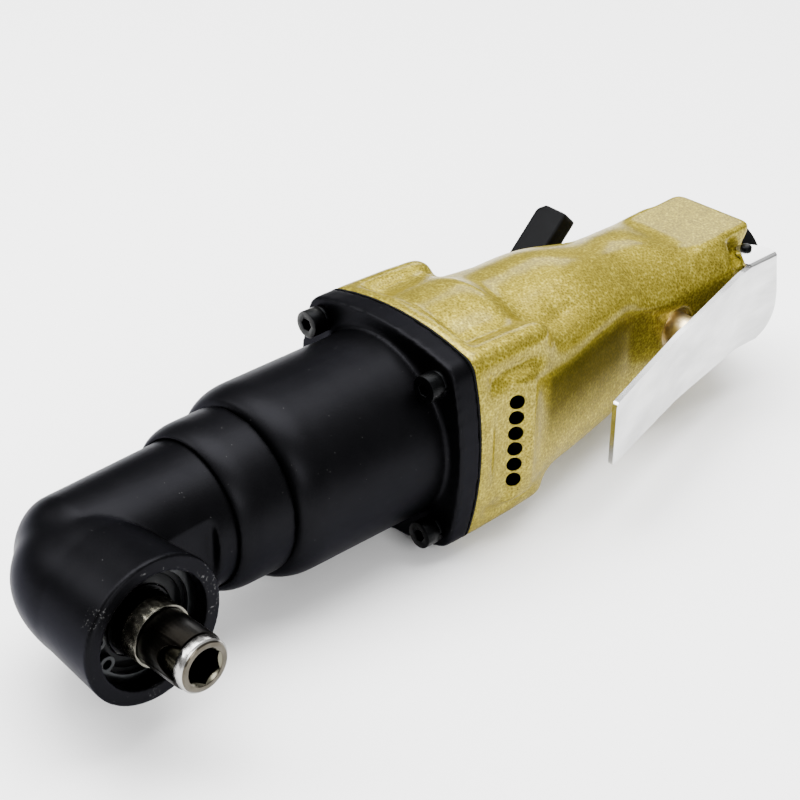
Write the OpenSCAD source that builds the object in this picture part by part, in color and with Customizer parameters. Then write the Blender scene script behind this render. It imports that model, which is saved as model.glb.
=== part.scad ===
// Right-angle pneumatic impact screwdriver.
// X runs along the tool from the mouth of the air inlet (the origin) to the angle head,
// Y is the way the chuck points, and Z is up as the tool lies on its side.

/* [Layout along the tool] */
// Inlet mouth to the front plane of the hammer case's flange
flange_x = 135; // [132:1:140]
// Hammer case ahead of its flange plane
case_len = 45; // [43:0.5:50]
// Neck collar ahead of the hammer case
collar_len = 15.8; // [14.5:0.1:18]
// Neck collar's nose to the axis of the chuck
neck_len = 33.7; // [33:0.1:37]

/* [Fits] */
// Radial clearance of a running fit
fit = 0.05; // [0.02:0.01:0.08]
// Free gap between pieces that move past each other
gap = 0.3; // [0.2:0.05:0.4]

/* [Hammer case] */
// Hammer case beyond the motor's bore
case_step = 4; // [3.5:0.1:5]
// Wall of the hammer case round the hammers
case_wall = 3; // [2.5:0.1:3.2]
// Length of the rounded nose of the case
case_nose_len = 8; // [5:0.5:10]
// Wall between the hammers and the nose face
case_nose_wall = 10; // [9:0.5:12]
// Radius of the threaded stub that carries the neck collar
stub_r = 18.9; // [18.6:0.1:19.1]
// Length of that stub
stub_len = 8; // [6:0.5:9]
// Thickness of the flange
flange_t = 6.5; // [5:0.5:8]
// Flange beyond the drum, at the middle of a side
flange_proud = 0.85; // [0.5:0.05:1.1]
// Centre of a flange corner and of its screw, in from the side
corner_inset = 8.35; // [8.2:0.05:8.5]
// Radius of a flange corner
corner_r = 6.3; // [6:0.1:6.6]
// Thickness of the gasket behind the flange
gasket_t = 0.5; // [0.3:0.1:1]
// Depth that the case's spigot reaches into the housing
spigot_len = 4.5; // [3:0.5:6]

/* [Neck collar] */
// Radius of the neck collar
collar_r = 21; // [20.6:0.1:22]
// Length of the collar's rounded nose
collar_nose_len = 6.5; // [3:0.5:7]
// Bore of the collar's lip, as clearance round the neck
collar_lip_gap = 0.1; // [0.05:0.05:0.3]

/* [Angle head] */
// Radius of the neck at the collar
neck_r = 18.25; // [18:0.05:18.3]
// Radius of the neck where it meets the head
neck_tip_r = 17.35; // [17:0.05:17.6]
// Length of the rounded end of the neck
neck_dome_len = 12.45; // [12:0.1:13]
// Radius of the head at its mouth
mouth_r = 18.5; // [18.2:0.1:19]
// Radius of the head where its dome starts
dome_r = 16.8; // [16.5:0.1:17.5]
// Height of the mouth's face above the tool's axis
mouth_y = 30.6; // [30:0.1:32]
// Height of the start of the dome above the tool's axis
dome_y = 11.1; // [10:0.1:12]
// Depth of the dome
dome_len = 22.8; // [22:0.1:24]
// Bore of the mouth
mouth_bore_r = 14.6; // [14.4:0.1:14.8]
// Height of the milled flat at the elbow's inner corner
elbow_flat_y = 15.6; // [15:0.1:17]

/* [Bevel gears] */
// Teeth on the pinion
pinion_teeth = 12; // [12:4:16]
// Teeth on the gear
gear_teeth = 16; // [16:4:20]
// Module of the teeth at their outer end
gear_module = 1.5; // [1.3:0.05:1.5]
// Face width of the teeth
tooth_face = 5; // [3.5:0.5:5.5]
// Play between the teeth at the pitch line
backlash = 0.3; // [0.2:0.05:0.4]

/* [Chuck] */
// Across flats of the bit socket
hex_af = 8; // [7.8:0.05:8.1]
// Depth of the bit socket
hex_depth = 18; // [15:0.5:18.5]
// Height of the chuck's face above the tool's axis
chuck_y = 47.7; // [46.5:0.1:49]
// Radius of the bright front ring
nose_r = 6.6; // [6.3:0.1:6.8]
// Length of the bright front ring
nose_len = 4.7; // [4:0.1:5]
// Radius of the spindle's neck under the sleeve
neck_in_r = 5.6; // [5.5:0.05:5.7]
// Outer radius of the sliding sleeve
sleeve_r = 6.95; // [6.9:0.05:7]
// Travel of the sleeve
sleeve_travel = 2; // [1.5:0.1:2]
// Outer radius of the spring cup
cup_r = 7.6; // [7.5:0.05:7.8]
// Length of the spring cup
cup_len = 5; // [4.9:0.1:5.2]
// Radius of the collar on which the spindle sits on its bearing
seat_r = 8; // [7.8:0.1:8.1]
// Length of that collar
seat_len = 3; // [2.5:0.1:3]
// Radius of the bit-locking ball
lock_ball_r = 1.25; // [1.1:0.05:1.3]

/* [Motor] */
// Bore of the housing for the motor
motor_bore_r = 20.5; // [20.4:0.1:20.7]
// Length of the motor's cylinder
motor_len = 32; // [30:1:32]
// Radius of the eccentric bore of the cylinder
liner_bore_r = 16.4; // [16.2:0.1:16.5]
// Eccentricity of that bore
eccentricity = 1.8; // [1.6:0.1:1.8]
// Radius of the rotor's shaft
shaft_r = 4; // [3.8:0.1:4.1]
// Number of vanes
vane_count = 6; // [4:1:8]
// Thickness of a vane
vane_t = 2; // [1.6:0.1:2.2]
// Thickness of the rear and front end plates
plate_t = 10; // [9.5:0.5:10]

/* [Housing] */
// Wall of the drum round the motor
drum_wall = 7.8; // [7.5:0.1:8.1]
// Wall of the shoulder behind the drum
shoulder_wall = 5.1; // [4.8:0.1:5.5]
// Radius of the handle
handle_r = 21; // [20.8:0.1:21.4]
// Length of the drum, from the housing's front face
drum_len = 26; // [25:0.5:27]
// Length of a corner boss, from the housing's front face
boss_len = 32.5; // [31:0.5:34]
// Exhaust pad's face, in from the side of the flange
pad_inset = 0.15; // [0.1:0.05:0.5]
// Length of the exhaust pad, from the housing's front face
pad_len = 20; // [19:0.5:21]
// Half width of the pad's bulge
bulge_half = 19.5; // [18.5:0.1:20]
// Slope of the bulge's long face, in degrees
bulge_slope = 12.75; // [12.5:0.05:13]
// Radius of an exhaust hole
exhaust_r = 1.9; // [1.6:0.1:2]
// Pitch of the exhaust holes
exhaust_pitch = 4.46; // [4.3:0.02:4.5]
// Height of the bare label flat above the axis
label_z = 17.1; // [16.8:0.1:17.6]
// Height of the flat under the lever
lever_flat_y = 18.8; // [18.6:0.1:19]
// Rear end of the round handle, from the inlet mouth
handle_end_x = 20; // [19:0.5:21]
// Rear end of the tongue, from the inlet mouth
tongue_x = 10; // [9:0.5:11]

/* [Air inlet] */
// Radius of the thread's bore, a quarter-inch pipe thread at its crests
inlet_r = 5.72; // [5.5:0.01:5.9]
// Length of the thread
inlet_len = 14; // [12:1:15]
// Radius of the inlet's collar
inlet_collar_r = 12; // [11:0.5:12.5]

/* [Lever and throttle] */
// Distance of the lever's pin from the inlet mouth
pivot_x = 13.3; // [12.8:0.1:13.6]
// Height of the lever's pin above the axis
pivot_y = 15.3; // [15:0.1:15.5]
// Radius of the lever's pin
pin_r = 1.6; // [1.4:0.1:1.6]
// Thickness of the lever's sheet
sheet_t = 1.5; // [1.2:0.1:1.5]
// Half width of the lever at its ears
lever_half = 12.2; // [12:0.1:12.6]
// Half width of the lever behind the tip
lever_mid_half = 11.2; // [10.5:0.1:12]
// Half width of the lever's tip
lever_tip_half = 9.5; // [8:0.1:11]
// Tip of the lever, from the inlet mouth
lever_tip_x = 93; // [85:0.5:94]
// Bend of the lever, from the inlet mouth
lever_bend_x = 56; // [48:0.5:65]
// Slope of the lever's rear half, in degrees
rear_slope = 12.5; // [12:0.1:13]
// Slope of the lever's front half, in degrees
front_slope = 16.4; // [14:0.1:17]
// Distance of the throttle button from the inlet mouth
valve_x = 43.6; // [42:0.1:44.5]
// Radius of the throttle button
button_r = 4.5; // [4.2:0.1:4.6]

/* [Reverse valve] */
// Reverse knob's axis ahead of the throttle button's
reverse_step = 13.8; // [13:0.1:14.8]
// Radius of the reverse spool
spool_r = 5.45; // [5:0.05:5.6]
// Reach of the knob's bar from its axis
knob_reach = 22.6; // [18:0.1:24]
// Width of the knob's bar
knob_w = 6; // [5.6:0.1:8]
// Height of the knob's bar above its disc
knob_h = 8.9; // [6:0.1:10]

/* [Hidden] */
$fn = 64;

// Overrun of every cut past the face that it opens
over = 1;
// Steps of a curved outline
steps = 16;
// Sides of a curve that is only displayed, and of the balls in a hull
arc_fn = 180;
ball_fn = 28;

// Radii that follow the motor's bore
case_r = motor_bore_r + case_step;
drum_r = motor_bore_r + drum_wall;
shoulder_r = motor_bore_r + shoulder_wall;
flange_half = drum_r + flange_proud;
corner_c = flange_half - corner_inset;
pad_y = flange_half - pad_inset;

// Stations along X
case_front_x = flange_x + case_len;
collar_front_x = case_front_x + collar_len;
head_x = collar_front_x + neck_len;
front_x = flange_x - flange_t - gasket_t;
motor_front_x = flange_x - flange_t - spigot_len;
cylinder_front_x = motor_front_x - plate_t;
cylinder_rear_x = cylinder_front_x - motor_len;
motor_rear_x = cylinder_rear_x - plate_t;

// Case screws, socket heads on spring washers
screw_r = 1.95;
screw_head_r = 3.5;
screw_head_h = 4;
screw_key_af = 3;
screw_key_depth = 2;
screw_grip = 12;
washer_r = 3.4;
washer_t = 1.3;
washer_split = 0.5;

// Rotor, cage and hammers
rotor_r = liner_bore_r - eccentricity - gap;
vane_depth = 7.8;
cage_plate_t = 6;
cage_r = case_r - case_wall - gap - gap;
cage_drive_r = 3.9;
cage_drive_len = 5;
hammer_pin_r = 2.4;
hammer_pin_y = 17.9;
hammer_len = 11.2;
hammer_bore_r = 12;
jaw_reach = 2.8;
strut_in_r = 17.1;
strut_half = 7.5;
anvil_core_r = 8.6;
anvil_shaft_r = 7;
anvil_lobe_r = 11.5;
lobe_angle = 24;
lobe_play = 1.5;
coupling_af = 10;
coupling_len = 8;
bush_wall = 2.5;
case_web_t = 1.5;
case_bore_x = flange_x - flange_t + case_web_t;
cage_rear_x = case_bore_x + gap;
hammer_x = cage_rear_x + cage_plate_t + gap;
cage_front_x = hammer_x + 2 * (hammer_len + gap);
cage_end_x = cage_front_x + cage_plate_t;
case_inner_x = case_front_x - case_nose_wall;
stub_end_x = case_front_x + stub_len;

// Bearings, each as a list of outer radius, bore radius, width, ball radius and balls
rotor_bearing_r = 11;
rotor_bearing_w = 7;
rotor_ball_r = 1.9;
rotor_balls = 8;
rotor_bearing = [rotor_bearing_r, shaft_r, rotor_bearing_w, rotor_ball_r, rotor_balls];
pinion_shaft_r = 7.5;
pinion_bearing_r = 12;
pinion_bearing_w = 5;
pinion_ball_r = 1.35;
pinion_balls = 14;
pinion_bearing = [pinion_bearing_r, pinion_shaft_r, pinion_bearing_w, pinion_ball_r, pinion_balls];
spindle_r = 6;
spindle_bearing_r = 14;
spindle_bearing_w = 8;
spindle_ball_r = 2.1;
spindle_balls = 10;
spindle_bearing = [spindle_bearing_r, spindle_r, spindle_bearing_w, spindle_ball_r, spindle_balls];
race_share = 0.31;
pinion_bearing_inset = 4;
pinion_bearing_pitch = 9;
pinion_bearing_x = [stub_end_x + pinion_bearing_inset,
    stub_end_x + pinion_bearing_inset + pinion_bearing_pitch];
spindle_bearing_y = 17;
bearing_top_y = spindle_bearing_y + spindle_bearing[2];
shield_t = 0.6;

// Angle head
head_flange_t = 3;
neck_dome_inset = 2;
neck_dome_x = head_x - neck_dome_inset;
neck_bore_r = pinion_bearing_r;
head_spigot_len = 3;
head_spigot_r = neck_bore_r + bush_wall;
pinion_cavity_r = 10.9;
pinion_cavity_end = 6.8;
pinion_cavity_x = head_x - pinion_cavity_end;
pinion_shoulder_x = pinion_bearing_x[1] + pinion_bearing[2];
gear_cavity_r = 13.4;
cavity_floor_y = -1.5;
key_w = 2;
key_rise = 1.2;
key_y = 11;
key_len = 4;
tail_r = 3.45;
tail_bush_r = 5.4;
tail_end_y = -8.5;
tail_pocket_y = -9;
dome_power = 2.34;
elbow_flat_start = 5;
mouth_chamfer = 0.5;

// Circlip in the head's mouth
circlip_t = 1.2;
circlip_groove = 0.6;
circlip_width = 1.9;
circlip_lug_r = 2.1;
circlip_hole_r = 1.15;
circlip_lug_at = 11.9;
circlip_angles = [-33, 1];

// Chuck
cup_wall = 0.55;
cup_floor = 0.6;
window_r = 3.9;
window_angle = 20;
window_rise = 0.5;
hex_turn = 30;
countersink = 0.8;
nose_chamfer = 0.7;
chuck_wire_r = 0.2;
chuck_curls = 2.5;
sleeve_dip = 0.8;
sleeve_relief = 0.7;
lock_ball_inset = 5;
lock_ball_angle = 180;

// Housing
drum_fillet = 2.7;
end_fillet = 3;
corner_fillet = 5;
plate_len = 4;
blend_start_x = 80;
blend_end_x = 49;
bulge_fillet = 6.5;
bulge_end_x = 66;
bulge_tail_x = 52;
bulge_tail_half = 15;
exhaust_count = 6;
exhaust_inset = 19;
exhaust_x = flange_x - exhaust_inset;
chamber_x = 18;
chamber_half = 13.5;
chamber_wall = 3.5;
label_front_x = 33;
label_ramp = 12;
tongue_half = 12.2;
tongue_corner = 2.5;
lug_half = 10.3;
lug_r = 3.2;
lug_top_y = 18.4;
knob_boss_r = 9;
knob_boss_y = 22.2;
reverse_x = valve_x + reverse_step;

// Air inlet
inlet_shank_r = 8.4;
inlet_shank_len = 14;
inlet_throat_r = 4.5;
inlet_chamfer = 0.8;
inlet_flat_half = 10.5;
inlet_flat_len = 7;
screen_t = 1.2;
screen_hole_r = 0.9;
screen_ring_r = 2.9;
screen_holes = 8;
screen_x = tongue_x + inlet_shank_len;

// Throttle
bush_r = 5.8;
bush_top_y = 16.8;
seat_y = 6;
seat_t = 1.5;
seat_hole_r = 3;
button_top_y = 24.4;
button_low_y = 14;
button_chamfer = 0.9;
stem_r = 1.6;
button_oring_y = 15.6;
valve_disc_r = 4.2;
valve_disc_t = 2.2;
chamber_r = 5;
chamber_y = -9;
port_y = 9.8;
port_r = 2;
oring_r = 0.6;
spring_wire_r = 0.35;
spring_r = 3.4;
spring_curls = 5;

// Reverse valve
spool_inner_y = 13.5;
spool_hole_r = 2.8;
motor_port_y = -15;
motor_port_z = 3.5;
motor_port_r = 1.9;
spool_oring_y = [-19, 4];
knob_disc_r = 8.5;
knob_disc_t = 1.8;
knob_drive_af = 6.4;
knob_drive_len = 1.9;
knob_angle = 45;
knob_screw_bite = 4;
knob_chamfer = 2;
knob_screw_r = 1.45;
knob_screw_head_r = 2.4;
knob_screw_head_h = 1.8;
knob_in_y = -knob_boss_y - gap - knob_disc_t;
knob_out_y = knob_in_y - knob_h;

// Lever
lever_rear_x = 4.6;
lever_rear_corner = 7;
lever_tip_corner = 1.5;
lever_wide_x = 31;
lever_narrow_x = 34;
ear_front_x = 19;
ear_low_y = 12.6;
ear_corner = 2.5;
lever_pivot_gap = 3.5;

// Springs: six-sided wire, eight rings to a curl
wire_fn = 6;
rings = 8;
cup_bottom_y = bearing_top_y + seat_len + cup_floor;
nose_y = chuck_y - nose_len;
lock_ball_y = nose_y - lock_ball_inset;
sleeve_rear_y = bearing_top_y + seat_len + cup_len - sleeve_dip;
sleeve_len = nose_y - gap - sleeve_rear_y;
throttle_pitch = (seat_y - valve_disc_t - chamber_y - 2 * spring_wire_r) / spring_curls;
chuck_mean_r = (neck_in_r + cup_r - cup_wall) / 2;
chuck_pitch = (sleeve_rear_y - cup_bottom_y - 2 * chuck_wire_r) / chuck_curls;

// Local x, y and z turned to Y, Z and X, and moved along the tool
module along_x(x) translate([x, 0, 0]) rotate([90, 0, 90]) children();

// Local x, y and z turned to X, -Z and Y, and moved to a place on the tool's axis
module along_y(x, y) translate([x, y, 0]) rotate([-90, 0, 0]) children();

module ring(outer, inner, h) difference() {
    cylinder(r = outer, h = h);
    translate([0, 0, -over]) cylinder(r = inner, h = h + 2 * over);
}

module at_corners(c) for (sy = [-1, 1], sz = [-1, 1]) translate([sy * c, sz * c]) children();

function arc(cx, cy, r, from, to, n = steps) =
    [for (i = [0:n]) [cx + r * cos(from + (to - from) * i / n), cy + r * sin(from + (to - from) * i / n)]];
function ease(t) = (1 - cos(180 * t)) / 2;

// Radius of a hexagon's corners from its across flats
function hex_r(af) = af / sqrt(3);

// Square with bowed sides and round corners, the outline of the flange and the gasket
function turned(p, a) = [p.x * cos(a) - p.y * sin(a), p.x * sin(a) + p.y * cos(a)];
function bowed_points(half, c, r) =
    let (side_r = (c * c + pow(c - half, 2) - r * r) / (2 * (half - c - r)),
         shift = side_r - half, a = atan2(c, c + shift),
         side = arc(-shift, 0, side_r, -a, a, steps / 2),
         corner = arc(c, c, r, a, 90 - a, steps),
         edge = concat(side, [for (i = [1:steps - 1]) corner[i]]))
    [for (i = [0:3], p = edge) turned(p, 90 * i)];
module bowed_square(half, c, r) polygon(bowed_points(half, c, r));

// Round profile turned about the tool's axis, given as points of radius and X
module turned_x(points) along_x(0) rotate_extrude($fn = arc_fn) polygon(points);

// Unbroken helical wire of six-sided rings, with flat ends
function helix_points(r, wire, pitch, curls) = let (slant = atan2(pitch, 2 * PI * r))
    [for (i = [0:round(curls * rings)], j = [0:wire_fn - 1])
        let (a = 360 * i / rings, b = 360 * j / wire_fn, q = r + wire * cos(b), s = wire * sin(b))
            [q * cos(a) + s * sin(slant) * sin(a), q * sin(a) - s * sin(slant) * cos(a),
             pitch * i / rings + s * cos(slant)]];
module helix(r, wire, pitch, curls) {
    n = round(curls * rings);
    side = [for (i = [0:n - 1], j = [0:wire_fn - 1])
        let (k = i * wire_fn, m = (j + 1) % wire_fn) each
            [[k + j, k + wire_fn + j, k + wire_fn + m], [k + j, k + wire_fn + m, k + m]]];
    first = [for (j = [1:wire_fn - 2]) [0, j, j + 1]];
    last = [for (j = [1:wire_fn - 2]) [n * wire_fn, n * wire_fn + j + 1, n * wire_fn + j]];
    polyhedron(points = helix_points(r, wire, pitch, curls), faces = concat(first, side, last));
}

// Least distance between the points of curls at least half a turn apart
function least_gap(pts) = min([for (i = [0:len(pts) - 1], j = [i + wire_fn * rings / 2:len(pts) - 1])
    norm(pts[i] - pts[j])]);

// Ball bearing: rings with a groove, and balls on their circle, its axis along local z
function ball_circle(b) = (b[0] + b[1]) / 2;
module race(b) {
    land = race_share * (b[0] - b[1]);
    difference() {
        children();
        translate([0, 0, b[2] / 2]) rotate_extrude() translate([ball_circle(b), 0]) circle(r = b[3] + fit);
    }
}
module bearing_outer(b) race(b) ring(b[0], b[0] - race_share * (b[0] - b[1]), b[2]);
module bearing_inner(b) race(b) ring(b[1] + race_share * (b[0] - b[1]), b[1] + fit, b[2]);
module bearing_balls(b) for (i = [0:b[4] - 1])
    rotate(360 * i / b[4]) translate([ball_circle(b), 0, b[2] / 2]) sphere(r = b[3]);

// Bevel gear with involute teeth on its back cone, the cones' apex at the origin and
// its axis along local z, the outer end towards +z
pitch_r = gear_module * pinion_teeth / 2;
gear_pitch_r = gear_module * gear_teeth / 2;
cone_len = norm([pitch_r, gear_pitch_r]);
toe_share = (cone_len - tooth_face) / cone_len;
pressure = 20;
addendum_share = 0.85;
dedendum_share = 1.1;
flank_steps = 3;
function involute(a) = tan(a) * 180 / PI - a;
function tooth_outline(teeth, cone) =
    let (rv = gear_module * teeth / 2 / cos(cone),
         half = 90 / (teeth / cos(cone)) - backlash / 4 / rv * 180 / PI,
         base = rv * cos(pressure),
         low = rv - dedendum_share * gear_module,
         high = rv + addendum_share * gear_module,
         start = max(base, low),
         flank = [for (i = [0:flank_steps]) start + (high - start) * i / flank_steps],
         radii = low < start ? concat([low], flank) : flank,
         angles = [for (q = radii)
             (half + involute(pressure) - involute(acos(min(1, base / q)))) / cos(cone)])
    [for (i = [0:teeth - 1]) each
        let (mid = 360 * i / teeth, n = len(radii) - 1) concat(
            [for (k = [0:n]) [radii[k], mid - angles[k]]],
            [for (k = [n:-1:0]) [radii[k], mid + angles[k]]])];
module bevel_teeth(teeth, cone) {
    rv = gear_module * teeth / 2 / cos(cone);
    outline = tooth_outline(teeth, cone);
    n = len(outline);
    heel = [for (p = outline) let (q = gear_module * teeth / 2 + (p[0] - rv) * cos(cone))
        [q * cos(p[1]), q * sin(p[1]), cone_len * cos(cone) - (p[0] - rv) * sin(cone)]];
    cap = [0, 0, cone_len * cos(cone) + dedendum_share * gear_module * sin(cone)];
    pts = concat(heel, toe_share * heel, [cap, toe_share * cap]);
    m = n / teeth / 2;
    sides = [for (i = [0:n - 1]) let (j = (i + 1) % n) each [[i, j, n + j], [i, n + j, n + i]]];
    ends = [for (i = [0:teeth - 1], k = [0:m - 2])
        let (l = 2 * m * i + k, r = 2 * m * (i + 1) - 1 - k) each [
            [r, r - 1, l + 1], [r, l + 1, l], [n + l + 1, n + r - 1, n + r], [n + l, n + l + 1, n + r]]];
    roots = [for (i = [0:teeth - 1]) let (l = 2 * m * i, r = l + 2 * m - 1, q = (r + 1) % n) each [
        [l, 2 * n, r], [r, 2 * n, q], [n + l, n + r, 2 * n + 1], [n + r, n + q, 2 * n + 1]]];
    polyhedron(points = pts, faces = concat(sides, ends, roots));
}
pinion_cone = atan2(pinion_teeth, gear_teeth);
gear_cone = 90 - pinion_cone;
root_cap = dedendum_share * gear_module;
pinion_heel_x = head_x - cone_len * cos(pinion_cone) - root_cap * sin(pinion_cone);
gear_heel_y = cone_len * cos(gear_cone) + root_cap * sin(gear_cone);

module motor_housing() color("darkkhaki") difference() {
    union() {
        housing_body();
        along_x(front_x - plate_len) linear_extrude(plate_len)
            bowed_square(flange_half, corner_c, corner_r);
        corner_bosses();
        exhaust_bulge();
        tongue();
        along_y(reverse_x, -knob_boss_y) cylinder(r = knob_boss_r, h = knob_boss_y);
    }
    motor_cuts();
    air_cuts();
    outer_flats();
}

// Drum, shoulder and handle as one turned profile
module housing_body() turned_x(concat(
    [[0, handle_end_x]],
    arc(handle_r - end_fillet, handle_end_x + end_fillet, end_fillet, -90, 0),
    [for (i = [0:steps]) let (t = i / steps)
        [handle_r + (shoulder_r - handle_r) * ease(t), blend_end_x + (blend_start_x - blend_end_x) * t]],
    [[shoulder_r, front_x - drum_len - drum_fillet]],
    arc(drum_r - drum_fillet, front_x - drum_len + drum_fillet, drum_fillet, -90, 0),
    [[drum_r, front_x], [0, front_x]]));

// Bosses of the case screws, with round ends and a hollow fillet to the drum
module corner_bosses() {
    r = corner_r - fit;
    along_x(front_x - boss_len) for (sy = [-1, 1], sz = [-1, 1])
        translate([sy * corner_c, sz * corner_c, 0]) rotate_extrude() polygon(concat(
            arc(0, r, r, -90, 0), [[r, boss_len - plate_len / 2], [0, boss_len - plate_len / 2]]));
    reach = norm([corner_c, corner_c]);
    a = drum_r + corner_fillet;
    b = r + corner_fillet;
    along = (a * a - b * b + reach * reach) / (2 * reach);
    aside = sqrt(a * a - along * along);
    to_drum = 180 + atan2(aside, along);
    to_boss = -atan2(aside, reach - along);
    along_x(front_x - drum_len + drum_fillet) linear_extrude(drum_len - drum_fillet - plate_len / 2)
        for (i = [0:3]) rotate(45 + 90 * i) for (s = [0, 1]) mirror([0, s])
            polygon(concat([[0, 0]],
                arc(along, aside, corner_fillet + fit, to_drum, to_boss + 360, steps / 2), [[reach, 0]]));
}

// Bulge of the exhaust chamber: a flat pad in front, and a sloped face behind it
module exhaust_bulge() {
    pad_end_x = front_x - pad_len;
    turn_x = pad_end_x + bulge_fillet * tan(bulge_slope / 2);
    low_y = pad_y - bulge_fillet;
    spots = [
        [front_x - bulge_fillet, low_y, bulge_half],
        [turn_x, low_y, bulge_half],
        [bulge_end_x, low_y - (turn_x - bulge_end_x) * tan(bulge_slope), bulge_half],
        [bulge_tail_x, low_y - (turn_x - bulge_tail_x) * tan(bulge_slope), bulge_tail_half]];
    hull() for (p = spots, s = [-1, 1])
        translate([p.x, p.y, s * (p.z - bulge_fillet)]) sphere(r = bulge_fillet, $fn = ball_fn);
}

// Rear tongue under the label flat, and the lug of the lever's pin
module tongue() {
    c = tongue_corner;
    translate([0, 0, -label_z]) linear_extrude(2 * label_z + over) polygon(concat(
        arc(tongue_x + c, c - tongue_half, c, 270, 180, steps / 2),
        arc(tongue_x + c, tongue_half - c, c, 180, 90, steps / 2),
        [[handle_end_x + end_fillet, tongue_half], [handle_end_x + end_fillet, -tongue_half]]));
    translate([0, 0, -lug_half]) linear_extrude(2 * lug_half) {
        translate([pivot_x, pivot_y]) circle(r = lug_r);
        polygon([[pivot_x - lug_r, pivot_y], [pivot_x - lug_r, 0],
            [handle_end_x + end_fillet, 0], [handle_end_x + end_fillet, lug_top_y],
            [pivot_x, pivot_y + lug_r]]);
    }
}

module motor_cuts() {
    along_x(motor_rear_x) cylinder(r = motor_bore_r, h = front_x - motor_rear_x + over);
    along_x(front_x - screw_grip - over) linear_extrude(screw_grip + 2 * over)
        at_corners(corner_c) circle(r = screw_r + fit);
    translate([exhaust_x - 2 * chamber_x / 3, 0, -chamber_half])
        cube([chamber_x, pad_y - chamber_wall, 2 * chamber_half]);
    for (i = [0:exhaust_count - 1]) translate([0, 0, (i - (exhaust_count - 1) / 2) * exhaust_pitch])
        along_y(exhaust_x, pad_y - chamber_wall - over) cylinder(r = exhaust_r, h = chamber_wall + 2 * over);
    for (s = [-1, 1]) translate([0, motor_port_y, s * motor_port_z])
        along_x(reverse_x) cylinder(r = motor_port_r, h = motor_rear_x - reverse_x + over);
}

module air_cuts() {
    along_x(tongue_x - over) cylinder(r = inlet_shank_r + fit, h = inlet_shank_len + screen_t + over);
    along_x(tongue_x) cylinder(r = inlet_throat_r, h = valve_x - tongue_x);
    along_y(valve_x, chamber_y) cylinder(r = chamber_r, h = seat_y - chamber_y + over);
    along_y(valve_x, seat_y) cylinder(r = bush_r + fit, h = handle_r - seat_y + over);
    translate([0, port_y, 0]) along_x(valve_x) cylinder(r = port_r, h = reverse_x - valve_x);
    along_y(reverse_x, -knob_boss_y - over)
        cylinder(r = spool_r + fit, h = spool_inner_y + knob_boss_y + over);
    along_y(reverse_x, -drum_r) cylinder(r = knob_disc_r + over, h = drum_r - knob_boss_y);
    translate([pivot_x, pivot_y, -lug_half - over]) cylinder(r = pin_r, h = 2 * (lug_half + over));
}

// The bare label flat with its run-out, and the flat and slope under the lever
module outer_flats() {
    rise = handle_r - label_z;
    translate([0, handle_r, 0]) rotate([90, 0, 0]) linear_extrude(2 * handle_r)
        polygon([[-over, label_z], [label_front_x, label_z], [label_front_x + label_ramp, label_z + rise],
            [label_front_x + label_ramp, label_z + 2 * rise], [-over, label_z + 2 * rise]]);
    pad_end_x = front_x - pad_len;
    slope_x = pad_end_x - (pad_y - lever_flat_y) / tan(bulge_slope);
    translate([0, 0, -drum_r]) linear_extrude(2 * drum_r) polygon([[-over, lever_flat_y],
        [slope_x, lever_flat_y], [pad_end_x, pad_y], [pad_end_x, 2 * pad_y], [-over, 2 * pad_y]]);
}

module case_gasket() color("#1a1a1a") along_x(front_x) linear_extrude(gasket_t) difference() {
    bowed_square(flange_half, corner_c, corner_r);
    circle(r = motor_bore_r);
    at_corners(corner_c) circle(r = screw_r + gap);
}

module hammer_case() color("#202124") {
    nose_r1 = case_r - collar_r;
    difference() {
        union() {
            along_x(flange_x - flange_t) linear_extrude(flange_t)
                bowed_square(flange_half, corner_c, corner_r);
            turned_x(concat(
                [[0, motor_front_x], [motor_bore_r - fit, motor_front_x],
                 [motor_bore_r - fit, flange_x - over], [case_r, flange_x - over],
                 [case_r, case_front_x - case_nose_len]],
                [for (a = [0:90 / steps:90]) [case_r - nose_r1 + nose_r1 * cos(a),
                    case_front_x - case_nose_len + case_nose_len * sin(a)]],
                [[stub_r, case_front_x], [stub_r, stub_end_x], [0, stub_end_x]]));
        }
        along_x(motor_front_x - over)
            cylinder(r = rotor_bearing[0] + bush_wall, h = spigot_len + case_web_t + 2 * over);
        along_x(case_bore_x) cylinder(r = case_r - case_wall, h = case_inner_x - case_bore_x);
        along_x(flange_x) cylinder(r = anvil_shaft_r + bush_wall, h = stub_end_x - flange_x + over);
        along_x(stub_end_x - head_spigot_len) cylinder(r = head_spigot_r + fit, h = head_spigot_len + over);
        along_x(flange_x - flange_t - over) linear_extrude(flange_t + 2 * over)
            at_corners(corner_c) circle(r = screw_r + gap);
    }
}

module case_screws() color("#26272a") along_x(flange_x + washer_t) for (sy = [-1, 1], sz = [-1, 1])
    translate([sy * corner_c, sz * corner_c, 0]) difference() {
        union() {
            cylinder(r = screw_head_r, h = screw_head_h);
            translate([0, 0, -washer_t - flange_t - gasket_t - screw_grip])
                cylinder(r = screw_r, h = washer_t + flange_t + gasket_t + screw_grip);
        }
        translate([0, 0, screw_head_h - screw_key_depth])
            cylinder(r = hex_r(screw_key_af), h = screw_key_depth + over, $fn = 6);
    }

// Split spring washers
module screw_washers() color("#303134") along_x(flange_x) for (sy = [-1, 1], sz = [-1, 1])
    translate([sy * corner_c, sz * corner_c, 0]) difference() {
        ring(washer_r, screw_r + fit, washer_t);
        translate([0, -washer_split / 2, -over]) cube([washer_r + over, washer_split, washer_t + 2 * over]);
    }

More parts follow.
